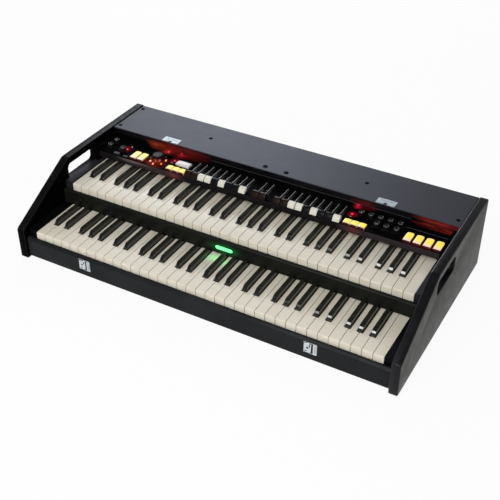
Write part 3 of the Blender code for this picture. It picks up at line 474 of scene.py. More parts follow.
def turnedBody(shape, profile, steps, radius=1):    # share of the radius and height, from the top down
    turns = [math.tau * step / steps for step in range(steps)]
    lofted(shape, [[(*polar(max(radius * share, poleRadius), turn), height) for turn in turns]
                   for share, height in profile])


def turned(name, profile, steps, radius, angle=0.6):
    shape = bmesh.new()
    turnedBody(shape, profile, steps, radius)
    return smoothed(newObject(name, shape), angle)


def roundedOutline(width, height, radius, steps=4):     # a rectangle's outline, anticlockwise
    points = []
    for index, (sideX, sideY) in enumerate(((-1, -1), (1, -1), (1, 1), (-1, 1))):
        centre = (sideX * (width / 2 - radius), sideY * (height / 2 - radius))
        points += [polar(radius, math.pi + (index + step / steps) * math.pi / 2, *centre)
                   for step in range(steps + 1)]
    return points


def slab(shape, outline, low, high, finish=0, taper=0.0, at=(0, 0)):
    top = [(x * (1 - taper) + at[0], y * (1 - taper) + at[1], high) for x, y in outline]
    bottom = [(x + at[0], y + at[1], low) for x, y in outline]
    lofted(shape, [top, bottom], finish)


def cadCopy(name, node, *finishNames):      # a copy of a CAD solid with its faces joined up again
    shape = bmesh.new()
    shape.from_mesh(frame["nodes"][node].data)
    bmesh.ops.remove_doubles(shape, verts=shape.verts, dist=0.00001)
    bmesh.ops.dissolve_limit(shape, angle_limit=0.01, verts=shape.verts, edges=shape.edges)
    for face in shape.faces:
        face.material_index = 0
    return newObject(name, shape, *finishNames)


def faced(item, test, index=1):             # another finish for the faces that pass the test
    for face in item.data.polygons:
        if test(face.normal, face.center):
            face.material_index = index
    return item


def dress(item, body, *nodes, slot=None):
    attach(item, body)
    if nodes:
        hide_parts(*nodes)


def discard(*items):
    for item in items:
        bpy.data.objects.remove(item, do_unlink=True)


# Geometry Nodes helpers

def startTree(name, **sockets):
    tree = bpy.data.node_groups.new(name, "GeometryNodeTree")
    for label, kind in {"Geometry": "Geometry", **sockets}.items():
        tree.interface.new_socket(label, in_out="INPUT", socket_type="NodeSocket" + kind)
    tree.interface.new_socket("Geometry", in_out="OUTPUT", socket_type="NodeSocketGeometry")
    return tree, tree.nodes.new("NodeGroupInput").outputs


def joined(tree, *parts):
    everything = addNode(tree, "GeometryNodeJoinGeometry")
    for part in parts:
        tree.links.new(part, everything.node.inputs[0])
    return everything


def finished(tree, finish, *parts):         # real faces in one finish
    real = addNode(tree, "GeometryNodeRealizeInstances", joined(tree, *parts))
    return addNode(tree, "GeometryNodeSetMaterial", real, Material=finish)


def endTree(tree, geometry):
    tree.links.new(geometry, tree.nodes.new("NodeGroupOutput").inputs[0])
    return tree


def grown(item, tree, **values):            # runs a tree on an item and keeps the plain mesh
    modifier = item.modifiers.new(tree.name, "NODES")
    modifier.node_group = tree
    for socket in tree.interface.items_tree:
        if socket.in_out == "INPUT" and socket.name in values:
            modifier[socket.identifier] = values[socket.name]
    return keepEvaluated(item)


def repeatTree():                           # one shape on every point, turned as the point's "turn" says
    tree, given = startTree("repeatOnPoints", Shape="Object", Finish="Material")
    source = addNode(tree, "GeometryNodeObjectInfo", given["Shape"], output="Geometry")
    turn = addNode(tree, "GeometryNodeInputNamedAttribute", "turn", settings={"data_type": "FLOAT_VECTOR"})
    placed = addNode(tree, "GeometryNodeInstanceOnPoints", given["Geometry"], Instance=source, Rotation=turn)
    return endTree(tree, finished(tree, given["Finish"], placed))


repeatOnPoints = repeatTree()


def repeated(name, shapeItem, finishName, places):      # on the cabinet, at (point, turn) pairs
    mesh = bpy.data.meshes.new(name)
    mesh.from_pydata([point for point, turn in places], [], [])
    turns = mesh.attributes.new("turn", "FLOAT_VECTOR", "POINT")
    for entry, (point, turn) in zip(turns.data, places):
        entry.vector = turn
    item = grown(newObject(name, mesh), repeatOnPoints, Shape=shapeItem, Finish=material[finishName])
    dress(item, "cabinet")


# Cheeks

cheekSettings = {
    # The left cheek's edges have a dimmer copy of the paint than the right's: painted shade.
    "softness": 0.0021, "left": "cheekDim", "right": "cheekEdge",
    # parts of a face's normal, for the edges all round, the inner side, the left cheek's front,
    # and the rounded upper edge on the left of each cheek, which catches the light
    "round": 0.5, "inner": 0.95, "front": -0.8, "litEdge": (0.15, 0.95), "up": 0.1,
}


def makeCheek(side, inward):
    s = cheekSettings
    isLeft = side == "left"
    least, most = s["litEdge"]
    cheek = cadCopy(side + "CheekBoard", side + "_cheek", "cabinetPaint", s[side], "cheekInner", "edgeGloss")
    softened(cheek, s["softness"], 3)
    faced(cheek, lambda normal, centre: abs(normal.x) < s["round"])
    # the inner sides and the left cheek's front take the painted shade
    faced(cheek, lambda normal, centre: (
        normal.x * inward > s["inner"] or (isLeft and normal.y < s["front"])), 2)
    faced(cheek, lambda normal, centre: least < -normal.x < most and normal.z > s["up"], 3)
    dress(cheek, "cabinet", side + "_cheek", slot="cabinet_black")


makeCheek("left", 1)
makeCheek("right", -1)
print("cheeks done")


# Rails, in front of the lower keys and between the manuals

railSettings = {"chamfer": 0.0050, "edge": 0.0007}


def makeRails():
    chamfer, top = railSettings["chamfer"], railHigh.z
    outline = [(railFront, railLow.z), (railHigh.y, railLow.z), (railHigh.y, top), (railFront + chamfer, top),
               (railFront, top - chamfer)]
    shape = bmesh.new()
    lofted(shape, [[(x, y, z) for y, z in outline] for x in (railLow.x, railHigh.x)])
    for rail, node in ((newObject("lowerRail", shape, "railPaint"), "front_rail"),
                       (cadCopy("middleRail", "divider_rail", "dividerPaint"), "divider_rail")):
        dress(softened(rail, railSettings["edge"], 3), "cabinet", node, slot="rail_black")


makeRails()
print("rails done")


# Lid, with its screws

lidSettings = {
    "edge": 0.0020, "screwTurn": 40,
    "frontNormal": -0.75,                   # faces that turn further to the front have its darker finish, painted shade
    # radius and rise of the screws, and X and Y of each
    "lidScrews": (0.0050, 0.0008, ((-0.434, 0.225), (-0.434, 0.128), (-0.204, 0.179), (0.205, 0.176),
                                   (0.431, 0.134))),
    "largeLidScrews": (0.0062, 0.0012, ((-0.027, 0.128), (0.027, 0.127))),
}
screwSettings = {
    "head": ((0, 1), (0.6, 0.95), (0.9, 0.6), (1, 0)),      # shares of the radius and of the rise
    "foot": -0.0004, "sides": 20,
    # the cross: its arm and half width as shares of the radius, and the gap between its blocks
    "arm": 0.55, "half": 0.12, "depth": 0.0006, "over": 0.002, "gap": 0.00001,
}


def screwShape(name, radius, rise):
    s = screwSettings
    profile = [(share, rise * height) for share, height in s["head"]] + [(1, s["foot"]), (0, s["foot"])]
    item = turned(name, profile, s["sides"], radius)
    cross = bmesh.new()
    arm, half, depth = radius * s["arm"], radius * s["half"], rise - s["depth"]
    block(cross, (-arm, -half, depth), (arm, half, rise + s["over"]))
    for low, high in ((-arm, -half - s["gap"]), (half + s["gap"], arm)):
        block(cross, (-half, low, depth), (half, high, rise + s["over"]))
    cutter = newObject(name + "Cross", cross)
    modified(item, "BOOLEAN", operation="DIFFERENCE", solver="EXACT", object=cutter)
    discard(cutter)
    return item


def makeLid():
    s = lidSettings
    lid = boxed("lidBoard", lidLow, (lidHigh.x, lidHigh.y, lidTop), "lidPaint", "lidFront")
    faced(softened(lid, s["edge"], 3), lambda normal, centre: normal.y < s["frontNormal"])
    dress(lid, "cabinet", "top_lid", slot="lid_grey")
    for name in ("lidScrews", "largeLidScrews"):
        radius, rise, places = s[name]
        screw = screwShape(name + "Shape", radius, rise)
        repeated(name, screw, "blackScrew", [((x, y, lidTop), (0, 0, x * s["screwTurn"])) for x, y in places])
        discard(screw)


makeLid()
print("lid done")


# Catch plates for the transport cover: two stand on the front rail and two lie on the lid

catchSettings = {
    "edge": 0.00015, "x": (-0.2805, 0.2735), "frontShifts": (-0.0012, 0), "frontHeight": 0.0275,
    "topSetback": 0.0018, "topWidth": 0.0440, "topDepth": 0.0205, "plate": (-0.0004, 0.0009),
    "notchWidth": 0.0085, "notchDepth": 0.0068,
    # forms in mm: X, Y, width, height, corner, from, to, finish and taper
    "front": ((0, 0, 30, 27.5, 2, -0.2, 0.9, 0, 0), (-5.4, 0, 19.2, 26.8, 4.6, 0.7, 1.0, 1, 0),
              (-5.6, 0, 17, 24.6, 4, 0.7, 2.1, 0, 0.08), (10.3, 0, 8, 25.5, 1, 0.7, 1.86, 0, 0.06),
              (-5.6, 0.5, 5, 4, 1.8, 2.0, 2.22, 1, 0), (4.9, 0, 2.4, 26.2, 1.08, 0.8, 1.02, 1, 0),
              (11.2, 1, 1.1, 17, 0.495, 1.76, 1.98, 1, 0), (-1, 6.4, 2.2, 8, 0.99, 2.0, 2.22, 1, 0),
              (-8.2, -7.8, 6, 1.8, 0.81, 2.0, 2.22, 1, 0)),
    "top": ((0, 4.1, 32.56, 8.2, 1.6, 0.7, 1.4, 0, 0.05), (-13.2, -6.97, 14.52, 4.1, 0.8, 0.7, 1.4, 0, 0.05),
            (13.2, -6.97, 14.52, 4.1, 0.8, 0.7, 1.4, 0, 0.05), (0, 2.46, 27.28, 1.025, 0.5, 1.3, 1.48, 1, 0)),
}


def addForms(shape, forms):
    for x, y, width, height, corner, low, high, finish, taper in forms:
        slab(shape, roundedOutline(width * mm, height * mm, corner * mm), low * mm, high * mm, finish, taper,
             (x * mm, y * mm))


def makeCatch(name, shape, place, plating):
    item = newObject(name, shape, plating, "blackScrew")
    item.data.transform(place)
    dress(softened(item, catchSettings["edge"], 1), "cabinet")


def makeCatches():
    s = catchSettings
    halfWidth, halfDepth, halfNotch = s["topWidth"] / 2, s["topDepth"] / 2, s["notchWidth"] / 2
    notchRear = s["notchDepth"] - halfDepth
    notched = [(-halfWidth, -halfDepth), (-halfNotch, -halfDepth), (-halfNotch, notchRear),
               (halfNotch, notchRear), (halfNotch, -halfDepth), (halfWidth, -halfDepth),
               (halfWidth, halfDepth), (-halfWidth, halfDepth)]
    frontZ = railHigh.z - railSettings["chamfer"] - s["frontHeight"] / 2
    topY = lidLow.y + s["topSetback"] + halfDepth
    upright = Euler((math.pi / 2, 0, 0)).to_matrix().to_4x4()
    for number, (x, shift) in enumerate(zip(s["x"], s["frontShifts"]), start=1):
        shape = bmesh.new()
        addForms(shape, s["front"])
        makeCatch(f"frontCatch_{number}", shape, Matrix.Translation((x + shift, railFront, frontZ)) @ upright,
                  "nickelPlate")
        shape = bmesh.new()
        slab(shape, notched, *s["plate"])
        addForms(shape, s["top"])
        makeCatch(f"topCatch_{number}", shape, Matrix.Translation((x, topY, lidTop)), "zincPlate")


makeCatches()
print("catch plates done")


# Naturals: seven shapes and the last C, picked in turn along each manual

keySettings = {
    "pitch": 0.0235, "gap": 0.0010, "height": 0.018, "head": 0.0432, "tail": 0.1118,
    "bar": 0.014, "barThickness": 0.005, "frontRound": 0.0036, "edge": 0.0005,
    "sharpWidth": 0.012, "sideGap": 0.0013, "naturals": 36, "octave": 7, "seeds": {"lower": 3, "upper": 4},
    "reach": 0.001,                         # edges this near the front and the top are rounded
}


def sharpPlaces():      # X of each sharp: n naturals share 2n - 1 equal semitones
    pitch = keySettings["pitch"]
    places = []
    start = -keySettings["naturals"] * pitch / 2
    for naturals in (3, 4) * 5:             # in five octaves
        semitone = naturals * pitch / (2 * naturals - 1)
        places += [start + semitone * (2 * index - 0.5) for index in range(1, naturals)]
        start += naturals * pitch
    return places


sharpsX = sharpPlaces()


def naturalShape(name, index):
    s = keySettings
    left = (index - s["naturals"] / 2) * s["pitch"]
    centre = left + s["pitch"] / 2
    half = (s["pitch"] - s["gap"]) / 2
    notch = s["sharpWidth"] / 2 + s["sideGap"]
    tailLeft, tailRight = -half, half
    for x in sharpsX:
        if abs(x - left) < s["pitch"] / 2:
            tailLeft = max(tailLeft, x + notch - centre)
        if abs(x - left - s["pitch"]) < s["pitch"] / 2:
            tailRight = min(tailRight, x - notch - centre)
    head, end = s["head"], s["head"] + s["tail"]
    outline = [(-half, 0), (half, 0), (half, head), (tailRight, head), (tailRight, end),
               (tailLeft, end), (tailLeft, head), (-half, head)]
    points = [point for place, point in enumerate(outline) if point != outline[place - 1]]
    shape = bmesh.new()
    slab(shape, points, -s["height"], 0)
    bmesh.ops.recalc_face_normals(shape, faces=shape.faces)
    lip = [edge for edge in shape.edges
           if all(vert.co.y < s["reach"] and vert.co.z > -s["reach"] for vert in edge.verts)]
    bmesh.ops.bevel(shape, geom=lip, offset=s["frontRound"], segments=5, profile=0.5, affect="EDGES")
    return softened(newObject(name, shape), s["edge"], 2, 1.0)


def naturalsTree():
    tree, given = startTree("naturalsInARow", Shapes="Collection", Count="Int", Pitch="Float", Start="Vector",
                            Seed="Int", Finish="Material")
    step = addNode(tree, "ShaderNodeCombineXYZ", given["Pitch"])
    line = addNode(tree, "GeometryNodeMeshLine", given["Count"], Start_Location=given["Start"], Offset=step)
    shapes = addNode(tree, "GeometryNodeCollectionInfo", given["Shapes"], True, True)
    index = addNode(tree, "GeometryNodeInputIndex")
    isLast = figured(tree, "COMPARE", index, figured(tree, "SUBTRACT", given["Count"], 1.0))
    octave = keySettings["octave"]
    extra = figured(tree, "MULTIPLY", isLast, octave)
    pick = figured(tree, "ADD", figured(tree, "MODULO", index, octave), extra)
    placed = addNode(tree, "GeometryNodeInstanceOnPoints", line, Instance=shapes, Pick_Instance=True,
                     Instance_Index=pick)
    chance = addNode(tree, "FunctionNodeRandomValue", settings={"data_type": "FLOAT"}, output=1,
                     Seed=given["Seed"])
    tinted = addNode(tree, "GeometryNodeStoreNamedAttribute", placed, Name="ownTint", Value=chance,
                     settings={"data_type": "FLOAT", "domain": "INSTANCE"})
    return endTree(tree, finished(tree, given["Finish"], given["Geometry"], tinted))


def makeNaturals():
    s = keySettings
    shapes = bpy.data.collections.new("naturalShapes")
    for number, index in enumerate((*range(s["octave"]), s["naturals"] - 1)):
        item = naturalShape("naturalShape_%d" % number, index)
        scene.collection.objects.unlink(item)
        shapes.objects.link(item)
    tree = naturalsTree()
    for manual, seed in s["seeds"].items():
        low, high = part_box(manual + "_naturals")
        rear = low.y + s["head"] + s["tail"] - sunk
        keys = boxed(manual + "IvoryKeys", (low.x, rear, low.z), (high.x, high.y, low.z + s["barThickness"]))
        start = (-(s["naturals"] - 1) * s["pitch"] / 2, low.y, high.z)
        grown(keys, tree, Shapes=shapes, Count=s["naturals"], Pitch=s["pitch"], Start=start, Seed=seed,
              Finish=material["ivoryPlastic"])
        dress(keys, manual + "_naturals", manual + "_naturals", slot="natural_ivory")
    discard(*shapes.objects)
    bpy.data.collections.remove(shapes)


makeNaturals()
print("naturals done")


# Sharps: one shape on each place, gloss sides and a satin top

sharpSettings = {
    "width": 0.012, "topWidth": 0.0096, "rise": 0.011, "length": 0.0853, "drop": 0.0065, "edge": 0.0009,
    "nose": ((0, -0.0175), (0.0006, -0.0112), (0.0030, -0.0070), (0.0056, -0.0036), (0.0080, -0.0013),
             (0.0104, 0)),
    "barDepth": 0.014, "barBelow": 0.004, "tongueLow": -0.009, "tongueHigh": -0.004, "tongueIn": 0.004,
    "tongueOver": 0.0016,
    "flat": 0.98,                           # faces this level have the satin finish
}


def sharpShape():
    s = sharpSettings
    head = keySettings["head"]
    front, rear = head + keySettings["sideGap"], head + s["length"]
    wide, narrow = s["width"] / 2, s["topWidth"] / 2
    outline = [(front + y, s["rise"] + z) for y, z in s["nose"]] + [(rear, s["rise"]), (rear, -s["drop"])]
    shape = bmesh.new()
    lofted(shape, [[(side * (wide + (narrow - wide) * (z + s["drop"]) / (s["rise"] + s["drop"])), y, z)
                    for y, z in outline] for side in (-1, 1)])
    item = softened(newObject("sharpShape", shape), s["edge"], 3, 0.9)
    tongue = bmesh.new()
    tongue.from_mesh(item.data)
    end = head + keySettings["tail"] + keySettings["bar"] + s["tongueOver"]
    block(tongue, (-narrow, rear - s["tongueIn"], s["tongueLow"]), (narrow, end, s["tongueHigh"]))
    tongue.to_mesh(item.data)
    tongue.free()
    return item


def sharpsTree():
    tree, given = startTree("sharpsOnPoints", Bar="Object", Shape="Object", Sides="Material", Top="Material")
    bar, source = [addNode(tree, "GeometryNodeObjectInfo", given[label], output="Geometry")
                   for label in ("Bar", "Shape")]
    placed = addNode(tree, "GeometryNodeInstanceOnPoints", given["Geometry"], Instance=source)
    sides = finished(tree, given["Sides"], bar, placed)
    upward = along(tree, addNode(tree, "GeometryNodeInputNormal"), "Z")
    flat = figured(tree, "GREATER_THAN", upward, sharpSettings["flat"])
    return endTree(tree, addNode(tree, "GeometryNodeSetMaterial", sides, flat, given["Top"]))


def makeSharps():
    s = sharpSettings
    shapeItem, tree = sharpShape(), sharpsTree()
    for manual in ("lower", "upper"):
        keysLow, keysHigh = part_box(manual + "_naturals")
        low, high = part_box(manual + "_sharps")
        bar = boxed("sharpBar", (low.x, high.y - s["barDepth"], low.z),
                    (high.x, high.y, keysHigh.z - s["barBelow"]))
        points = bpy.data.meshes.new(manual + "EbonyKeys")
        points.from_pydata([(x, keysLow.y, keysHigh.z) for x in sharpsX], [], [])
        keys = grown(newObject(manual + "EbonyKeys", points), tree, Bar=bar, Shape=shapeItem,
                     Sides=material["ebonyGloss"], Top=material["ebonyTop"])
        dress(keys, manual + "_sharps", manual + "_sharps", slot="sharp_black")
        discard(bar)
    discard(shapeItem)


makeSharps()
print("sharps done")


# Control panel

panelSettings = {
    "edge": 0.0003, "lipNormal": -0.5, "lipDepth": 0.001, "lipHalf": 0.43,
    "slotHalf": 0.0036, "slotFront": 0.0042, "slotLength": 0.066,
    "wall": 0.00025, "wallDepth": 0.0019, "flange": 0.0005, "flangeRise": 0.0001,
    "fascia": 0.1140, "trimGap": 0.0002, "trimHeight": 0.0008, "trimFrom": -0.165, "trimTo": 0.336,
}


def makePanel():
    s = panelSettings
    panel = cadCopy("controlDeck", "control_panel", "panelGloss", "lipSatin")
    faced(softened(panel, s["edge"], 2), lambda normal, centre: (
        normal.y < s["lipNormal"] and centre.y < lipFront + s["lipDepth"] and abs(centre.x) < s["lipHalf"]))
    dress(panel, "cabinet", "control_panel", slot="panel_black")


def makeSlotEdges():        # bare sheet metal along the left wall of each slot only, the side that catches the light: partly real, partly a painted highlight
    s = panelSettings
    near, far = -s["slotHalf"], -s["slotHalf"] + s["wall"]
    outer, foot, rise = near - s["flange"], -s["wallDepth"], s["flangeRise"]
    outline = [(near, foot), (far, foot), (far, rise), (outer, rise), (outer, 0), (near, 0)]
    shape = bmesh.new()
    lofted(shape, [[(x, y, z) for x, z in outline] for y in (0, s["slotLength"])])
    edge = newObject("slotEdgeShape", shape)
    places = []
    for number in range(1, 21):
        low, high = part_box("drawbar_%02d" % number)
        places.append((((low.x + high.x) / 2, lipFront + s["slotFront"], deckTop), (0, 0, 0)))
    repeated("slotEdges", edge, "slotMetalAndHighlight", places)
    discard(edge)


def makeFasciaTrim():       # a thin bare edge under the lid, between the two glows
    s = panelSettings
    top = lidLow.z - s["trimGap"]
    trim = boxed("fasciaTrim", (s["trimFrom"], lidLow.y, top - s["trimHeight"]),
                 (s["trimTo"], s["fascia"] + sunk, top), "trimMetal")
    dress(trim, "cabinet")


makePanel()
makeSlotEdges()
makeFasciaTrim()
print("control panel done")


# Drawbars: a moulded cap, a neck through the slot and a stem below the deck

nineCaps = ("brown", "brown", "white", "white", "black", "white", "black", "black", "white")
drawbarSettings = {
    "width": 0.0162, "depth": 0.014, "capRise": 0.0003, "neckIn": 0.003, "neckDepth": 0.008,
    "neckHalf": 0.003, "stemHalf": 0.0045, "stemDrop": 0.0023, "overlap": 0.0005,
    "colours": nineCaps + ("brown", "brown") + nineCaps,
    # Y from the front in mm, 1 at the cap's top or 0 at its foot, and Z from there in mm
    "profile": ((0, 0, 0), (0.4, 0, 2.0), (2.4, 1, -5.2), (5.0, 1, -1.8), (6.2, 1, -0.5), (8.0, 1, 0),
                (12.8, 1, 0), (13.7, 1, -0.3), (14, 1, -1.2), (14, 0, 0)),
    # share of the half width and size of the outline there
    "sections": ((-1, 0.93), (-0.965, 0.985), (-0.90, 1), (0.90, 1), (0.965, 0.985), (1, 0.93)),
}


def makeDrawbar(number):
    s = drawbarSettings
    node = "drawbar_%02d" % number
    colour = s["colours"][number - 1]
    low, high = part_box(node)
    x, foot, top = (low.x + high.x) / 2, deckTop + s["capRise"], high.z
    profile = [(low.y + y * mm, (top if atTop else foot) + z * mm) for y, atTop, z in s["profile"]]
    middleY, middleZ = low.y + s["depth"] / 2, (top + foot) / 2
    shape = bmesh.new()
    lofted(shape, [[(x + share * s["width"] / 2, middleY + (y - middleY) * size,
                     max(foot, middleZ + (z - middleZ) * size)) for y, z in profile]
                   for share, size in s["sections"]])
    neck, stem, stemTop = s["neckHalf"], s["stemHalf"], deckTop - s["stemDrop"]
    neckFront = low.y + s["neckIn"]
    block(shape, (x - neck, neckFront, stemTop - s["overlap"]),
          (x + neck, neckFront + s["neckDepth"], foot + s["overlap"]), 1)
    block(shape, (x - stem, neckFront, low.z), (x + stem, high.y, stemTop), 1)
    bar = newObject("drawbarCap_%02d" % number, shape, colour + "Cap", "stemPlastic")
    dress(smoothed(bar, 0.7), node, node, slot="cap_" + colour)


for number in range(1, 21):
    makeDrawbar(number)
print("drawbars done")


# Lit tabs and buttons: pillowed caps whose light pales at the front and along the sides

tabSettings = {
    # share of the length, height above the deck and change of half width, both in mm
    "sections": ((0, 5.0, -0.5), (0.012, 5.6, -0.1), (0.04, 5.9, 0), (0.10, 6.0, 0), (0.18, 6.0, 0),
                 (0.27, 6.0, 0), (0.36, 6.0, 0), (0.60, 6.0, 0), (0.84, 6.0, -0.1), (0.90, 5.9, -0.7),
                 (0.95, 5.5, -1.7), (0.985, 4.7, -3.0), (1.0, 3.8, -4.1)),
    "edge": 0.0010, "crown": 0.0003, "paleFront": 1.0, "paleReach": 0.36, "paleEdges": 0.7,
}
buttonSettings = {
    "sections": ((0, 3.4, -0.6), (0.035, 4.4, -0.15), (0.10, 5.1, 0), (0.18, 5.3, 0), (0.28, 5.45, 0),
                 (0.5, 5.5, 0), (0.72, 5.45, 0), (0.90, 5.1, 0), (0.965, 4.4, -0.15), (1.0, 3.4, -0.6)),
    "edge": 0.0010, "crown": 0.0009, "paleFront": 0.6, "paleReach": 0.25, "paleEdges": 0.4, "white": 4,
}


crownShares = (0.6, 0.25, -0.25, -0.6)      # where the dome has points, across the cap
# Parts of a face's normal that tell the rounded rim, the flanks and the faces that stay darkest
rimX, rimY = (0.25, 0.9), (0.25, 0.95)
darkFront, darkUnder, darkest = -0.6, -0.5, 2.5
flankStart, flankGain = 0.75, 5


def pillowRing(x, y, half, low, top, edge, crown, steps=3):     # a cross-section with a domed top
    inner, shoulder = half - edge, top - crown - edge
    turns = [math.pi / 2 * step / steps for step in range(steps + 1)]
    ring = [(x - half, low), (x + half, low)]
    ring += [polar(edge, turn, x + inner, shoulder) for turn in turns]
    ring += [(x + inner * share, top - crown * share * share) for share in crownShares]
    ring += [polar(edge, turn + math.pi / 2, x - inner, shoulder) for turn in turns]
    return [(across, y, z) for across, z in ring]


def markLight(item, look):      # how pale each face glows, and how much it is a dim flank
    pale, flank = [item.data.attributes.new(name, "FLOAT", "FACE") for name in ("pale", "flank")]
    front = min(vertex.co.y for vertex in item.data.vertices)
    length = max(vertex.co.y for vertex in item.data.vertices) - front
    for face, paleness, side in zip(item.data.polygons, pale.data, flank.data):
        x, y, z = face.normal
        fade = 1 - (face.center.y - front) / length / look["paleReach"]
        isRim = rimX[0] < abs(x) < rimX[1] or rimY[0] < y < rimY[1]
        paleness.value = max(fade * look["paleFront"], look["paleEdges"] * isRim, 0.0)
        isDark = y < darkFront or y > rimY[1] or z < darkUnder
        side.value = darkest if isDark else max(0.0, min(1.0, (abs(x) - flankStart) * flankGain))


def makeCap(node, name, look, finishName, slot):
    low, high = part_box(node)
    x, half = (low.x + high.x) / 2, (high.x - low.x) / 2
    shape = bmesh.new()
    lofted(shape, [pillowRing(x, low.y + (high.y - low.y) * share, half + change * mm, low.z,
                              deckTop + rise * mm, look["edge"], look["crown"])
                   for share, rise, change in look["sections"]])
    cap = smoothed(newObject(name, shape, finishName), 1.0)
    markLight(cap, look)
    dress(cap, node, node, slot=slot)


for number in range(1, 7):
    makeCap("tilt_tab_%d" % number, "tabCap_%d" % number, tabSettings, "amberLight", "tab_amber")
for number in range(1, 8):
    unlit = number == buttonSettings["white"]
    makeCap("push_button_%d" % number, "buttonCap_%d" % number, buttonSettings,
            "whiteButton" if unlit else "amberLight", "tab_white" if unlit else "tab_amber")
print("tabs and buttons done")


# Knobs: a glossy turned body with low ribs, a dished top, a flared foot and a pointer line

knobSettings = {
    "gap": 0.0005, "dish": 0.0005, "shaft": 0.003, "steps": 36, "topDepth": 0.0008,
    "ribWidth": 0.0008, "ribDepth": 0.05, "ribShare": 0.40, "ribMiddle": 0.52,
    "pointerWidth": 0.0007, "pointerDepth": 0.0018, "pointerTop": 0.0001, "pointer": (0.82, 0.40),
}
# The rim has shares of the radius and drops from the top, the flare shares of the radius and of the
# height. The top is satin inside a share of the radius, and the foot below a share of the height.
smallKnob = {
    "ribs": 20, "satinTop": 0.60, "satinFoot": 0.4,
    "rim": ((0.56, 0.0005), (0.62, 0.0001), (0.66, 0), (0.72, 0.0003), (0.78, 0.0010), (0.82, 0.0019),
            (0.85, 0.0032)),
    "flare": ((0.86, 0.45), (0.875, 0.28), (0.91, 0.15), (0.96, 0.07), (1.0, 0.03)),
}
selectorKnob = {
    "ribs": 32, "satinTop": 0.91, "satinFoot": 0,
    "rim": ((0.60, 0.0004), (0.78, 0.0002), (0.84, 0), (0.90, 0.0004), (0.935, 0.0010), (0.95, 0.0020)),
    "flare": ((0.95, 0.45), (0.955, 0.28), (0.96, 0.15), (0.98, 0.07), (1.0, 0.03)),
}


def knobTree():
    tree, given = startTree("ribbedKnob", Ribs="Int", Radius="Float", Size="Vector", Lift="Float",
                            Finish="Material")
    ring = addNode(tree, "GeometryNodeMeshCircle", given["Ribs"], given["Radius"])
    facing = addNode(tree, "FunctionNodeAlignEulerToVector", settings={"axis": "X"},
                     Vector=addNode(tree, "GeometryNodeInputPosition"))
    rib = addNode(tree, "GeometryNodeMeshCube", given["Size"])
    placed = addNode(tree, "GeometryNodeInstanceOnPoints", ring, Instance=rib, Rotation=facing)
    lift = addNode(tree, "ShaderNodeCombineXYZ", Z=given["Lift"])
    ribs = addNode(tree, "GeometryNodeSetPosition", finished(tree, given["Finish"], placed), Offset=lift)
    return endTree(tree, joined(tree, ribs, given["Geometry"]))


ribbedKnob = knobTree()


def makeKnob(node, name, kind, sideFinish, topFinish, slot):
    s = knobSettings
    low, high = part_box(node)
    radius, base = (high.x - low.x) / 2, deckTop + s["gap"]
    height, foot = high.z - base, low.z - base
    shape = bmesh.new()
    body = [(0, height - s["dish"])] + [(radius * share, height - drop) for share, drop in kind["rim"]]
    body += [(radius * share, height * rise) for share, rise in kind["flare"]]
    turnedBody(shape, body + [(radius, 0), (s["shaft"], 0), (s["shaft"], foot), (0, foot)], s["steps"])
    for face in shape.faces:
        middle = face.calc_center_median()
        onTop = middle.z > height - s["topDepth"] and middle.xy.length < radius * kind["satinTop"]
        if onTop or (kind["satinFoot"] and middle.z < height * kind["satinFoot"]):
            face.material_index = 1
    half, (outer, inner) = s["pointerWidth"] / 2, s["pointer"]
    block(shape, (-half, -radius * outer, height - s["pointerDepth"]),
          (half, -radius * inner, height - s["pointerTop"]), 2)
    knob = newObject(name, shape, sideFinish, topFinish, "pointerGrey")
    grown(knob, ribbedKnob, Ribs=kind["ribs"], Radius=radius * kind["rim"][-1][0],
          Size=(radius * s["ribDepth"], s["ribWidth"], height * s["ribShare"]), Lift=height * s["ribMiddle"],
          Finish=material[sideFinish])
    knob.data.transform(Matrix.Translation(((low.x + high.x) / 2, (low.y + high.y) / 2, base)))
    dress(smoothed(knob), node, node, slot=slot)


for number in range(1, 12):
    makeKnob("knob_%02d" % number, "smallKnob_%02d" % number, smallKnob, "knobPlastic", "knobTop",
             "knob_black")
makeKnob("selector_knob", "selectorDial", selectorKnob, "selectorSide", "selectorTop", "selector_grey")
print("knobs done")


# Indicator lamps on the deck and the fascia, and the marks round the selector

lampSettings = {
    "radius": 0.0024, "rim": 0.0002, "foot": -0.0004, "sides": 12,
    "dome": ((0, 1), (0.5, 0.87), (0.87, 0.5)),             # shares of the radius
    # finish of each group, and X and Y of each lamp
    "redLamps": ("redLight", ((-0.374, 0.070), (-0.280, 0.1075), (-0.244, 0.080), (0.214, 0.079))),
    "whiteLamp": ("printWhite", ((-0.370, 0.084),)),
    "onFascia": ((-0.246, 0.1518), (0.213, 0.1522)),        # X and Z
}


def makeLamps():
    s = lampSettings
    dome = [(share, s["radius"] * height) for share, height in s["dome"]]
    profile = dome + [(1, s["rim"]), (1, s["foot"]), (0, s["foot"])]
    lamp = turned("lampShape", profile, s["sides"], s["radius"], 1.0)
    for name in ("redLamps", "whiteLamp"):
        finishName, places = s[name]
        repeated(name, lamp, finishName, [((x, y, deckTop), (0, 0, 0)) for x, y in places])
    repeated("fasciaLamps", lamp, "dimRedLight",
             [((x, panelSettings["fascia"], z), (math.pi / 2, 0, 0)) for x, z in s["onFascia"]])
    discard(lamp)


markSettings = {
    "turn": 112, "length": 0.0080, "width": 0.0036, "round": 0.45, "rise": 0.0003,
    # finish of each group, and the angle round the selector in degrees and distance of each mark
    "selectorMarks": ("orangeLight", ((-128, 0.0196), (-89, 0.0228), (-38, 0.0230), (11, 0.0196))),
    "unlitMarks": ("pointerGrey", ((-172, 0.0196), (55, 0.0196), (98, 0.0196), (142, 0.0196))),
}


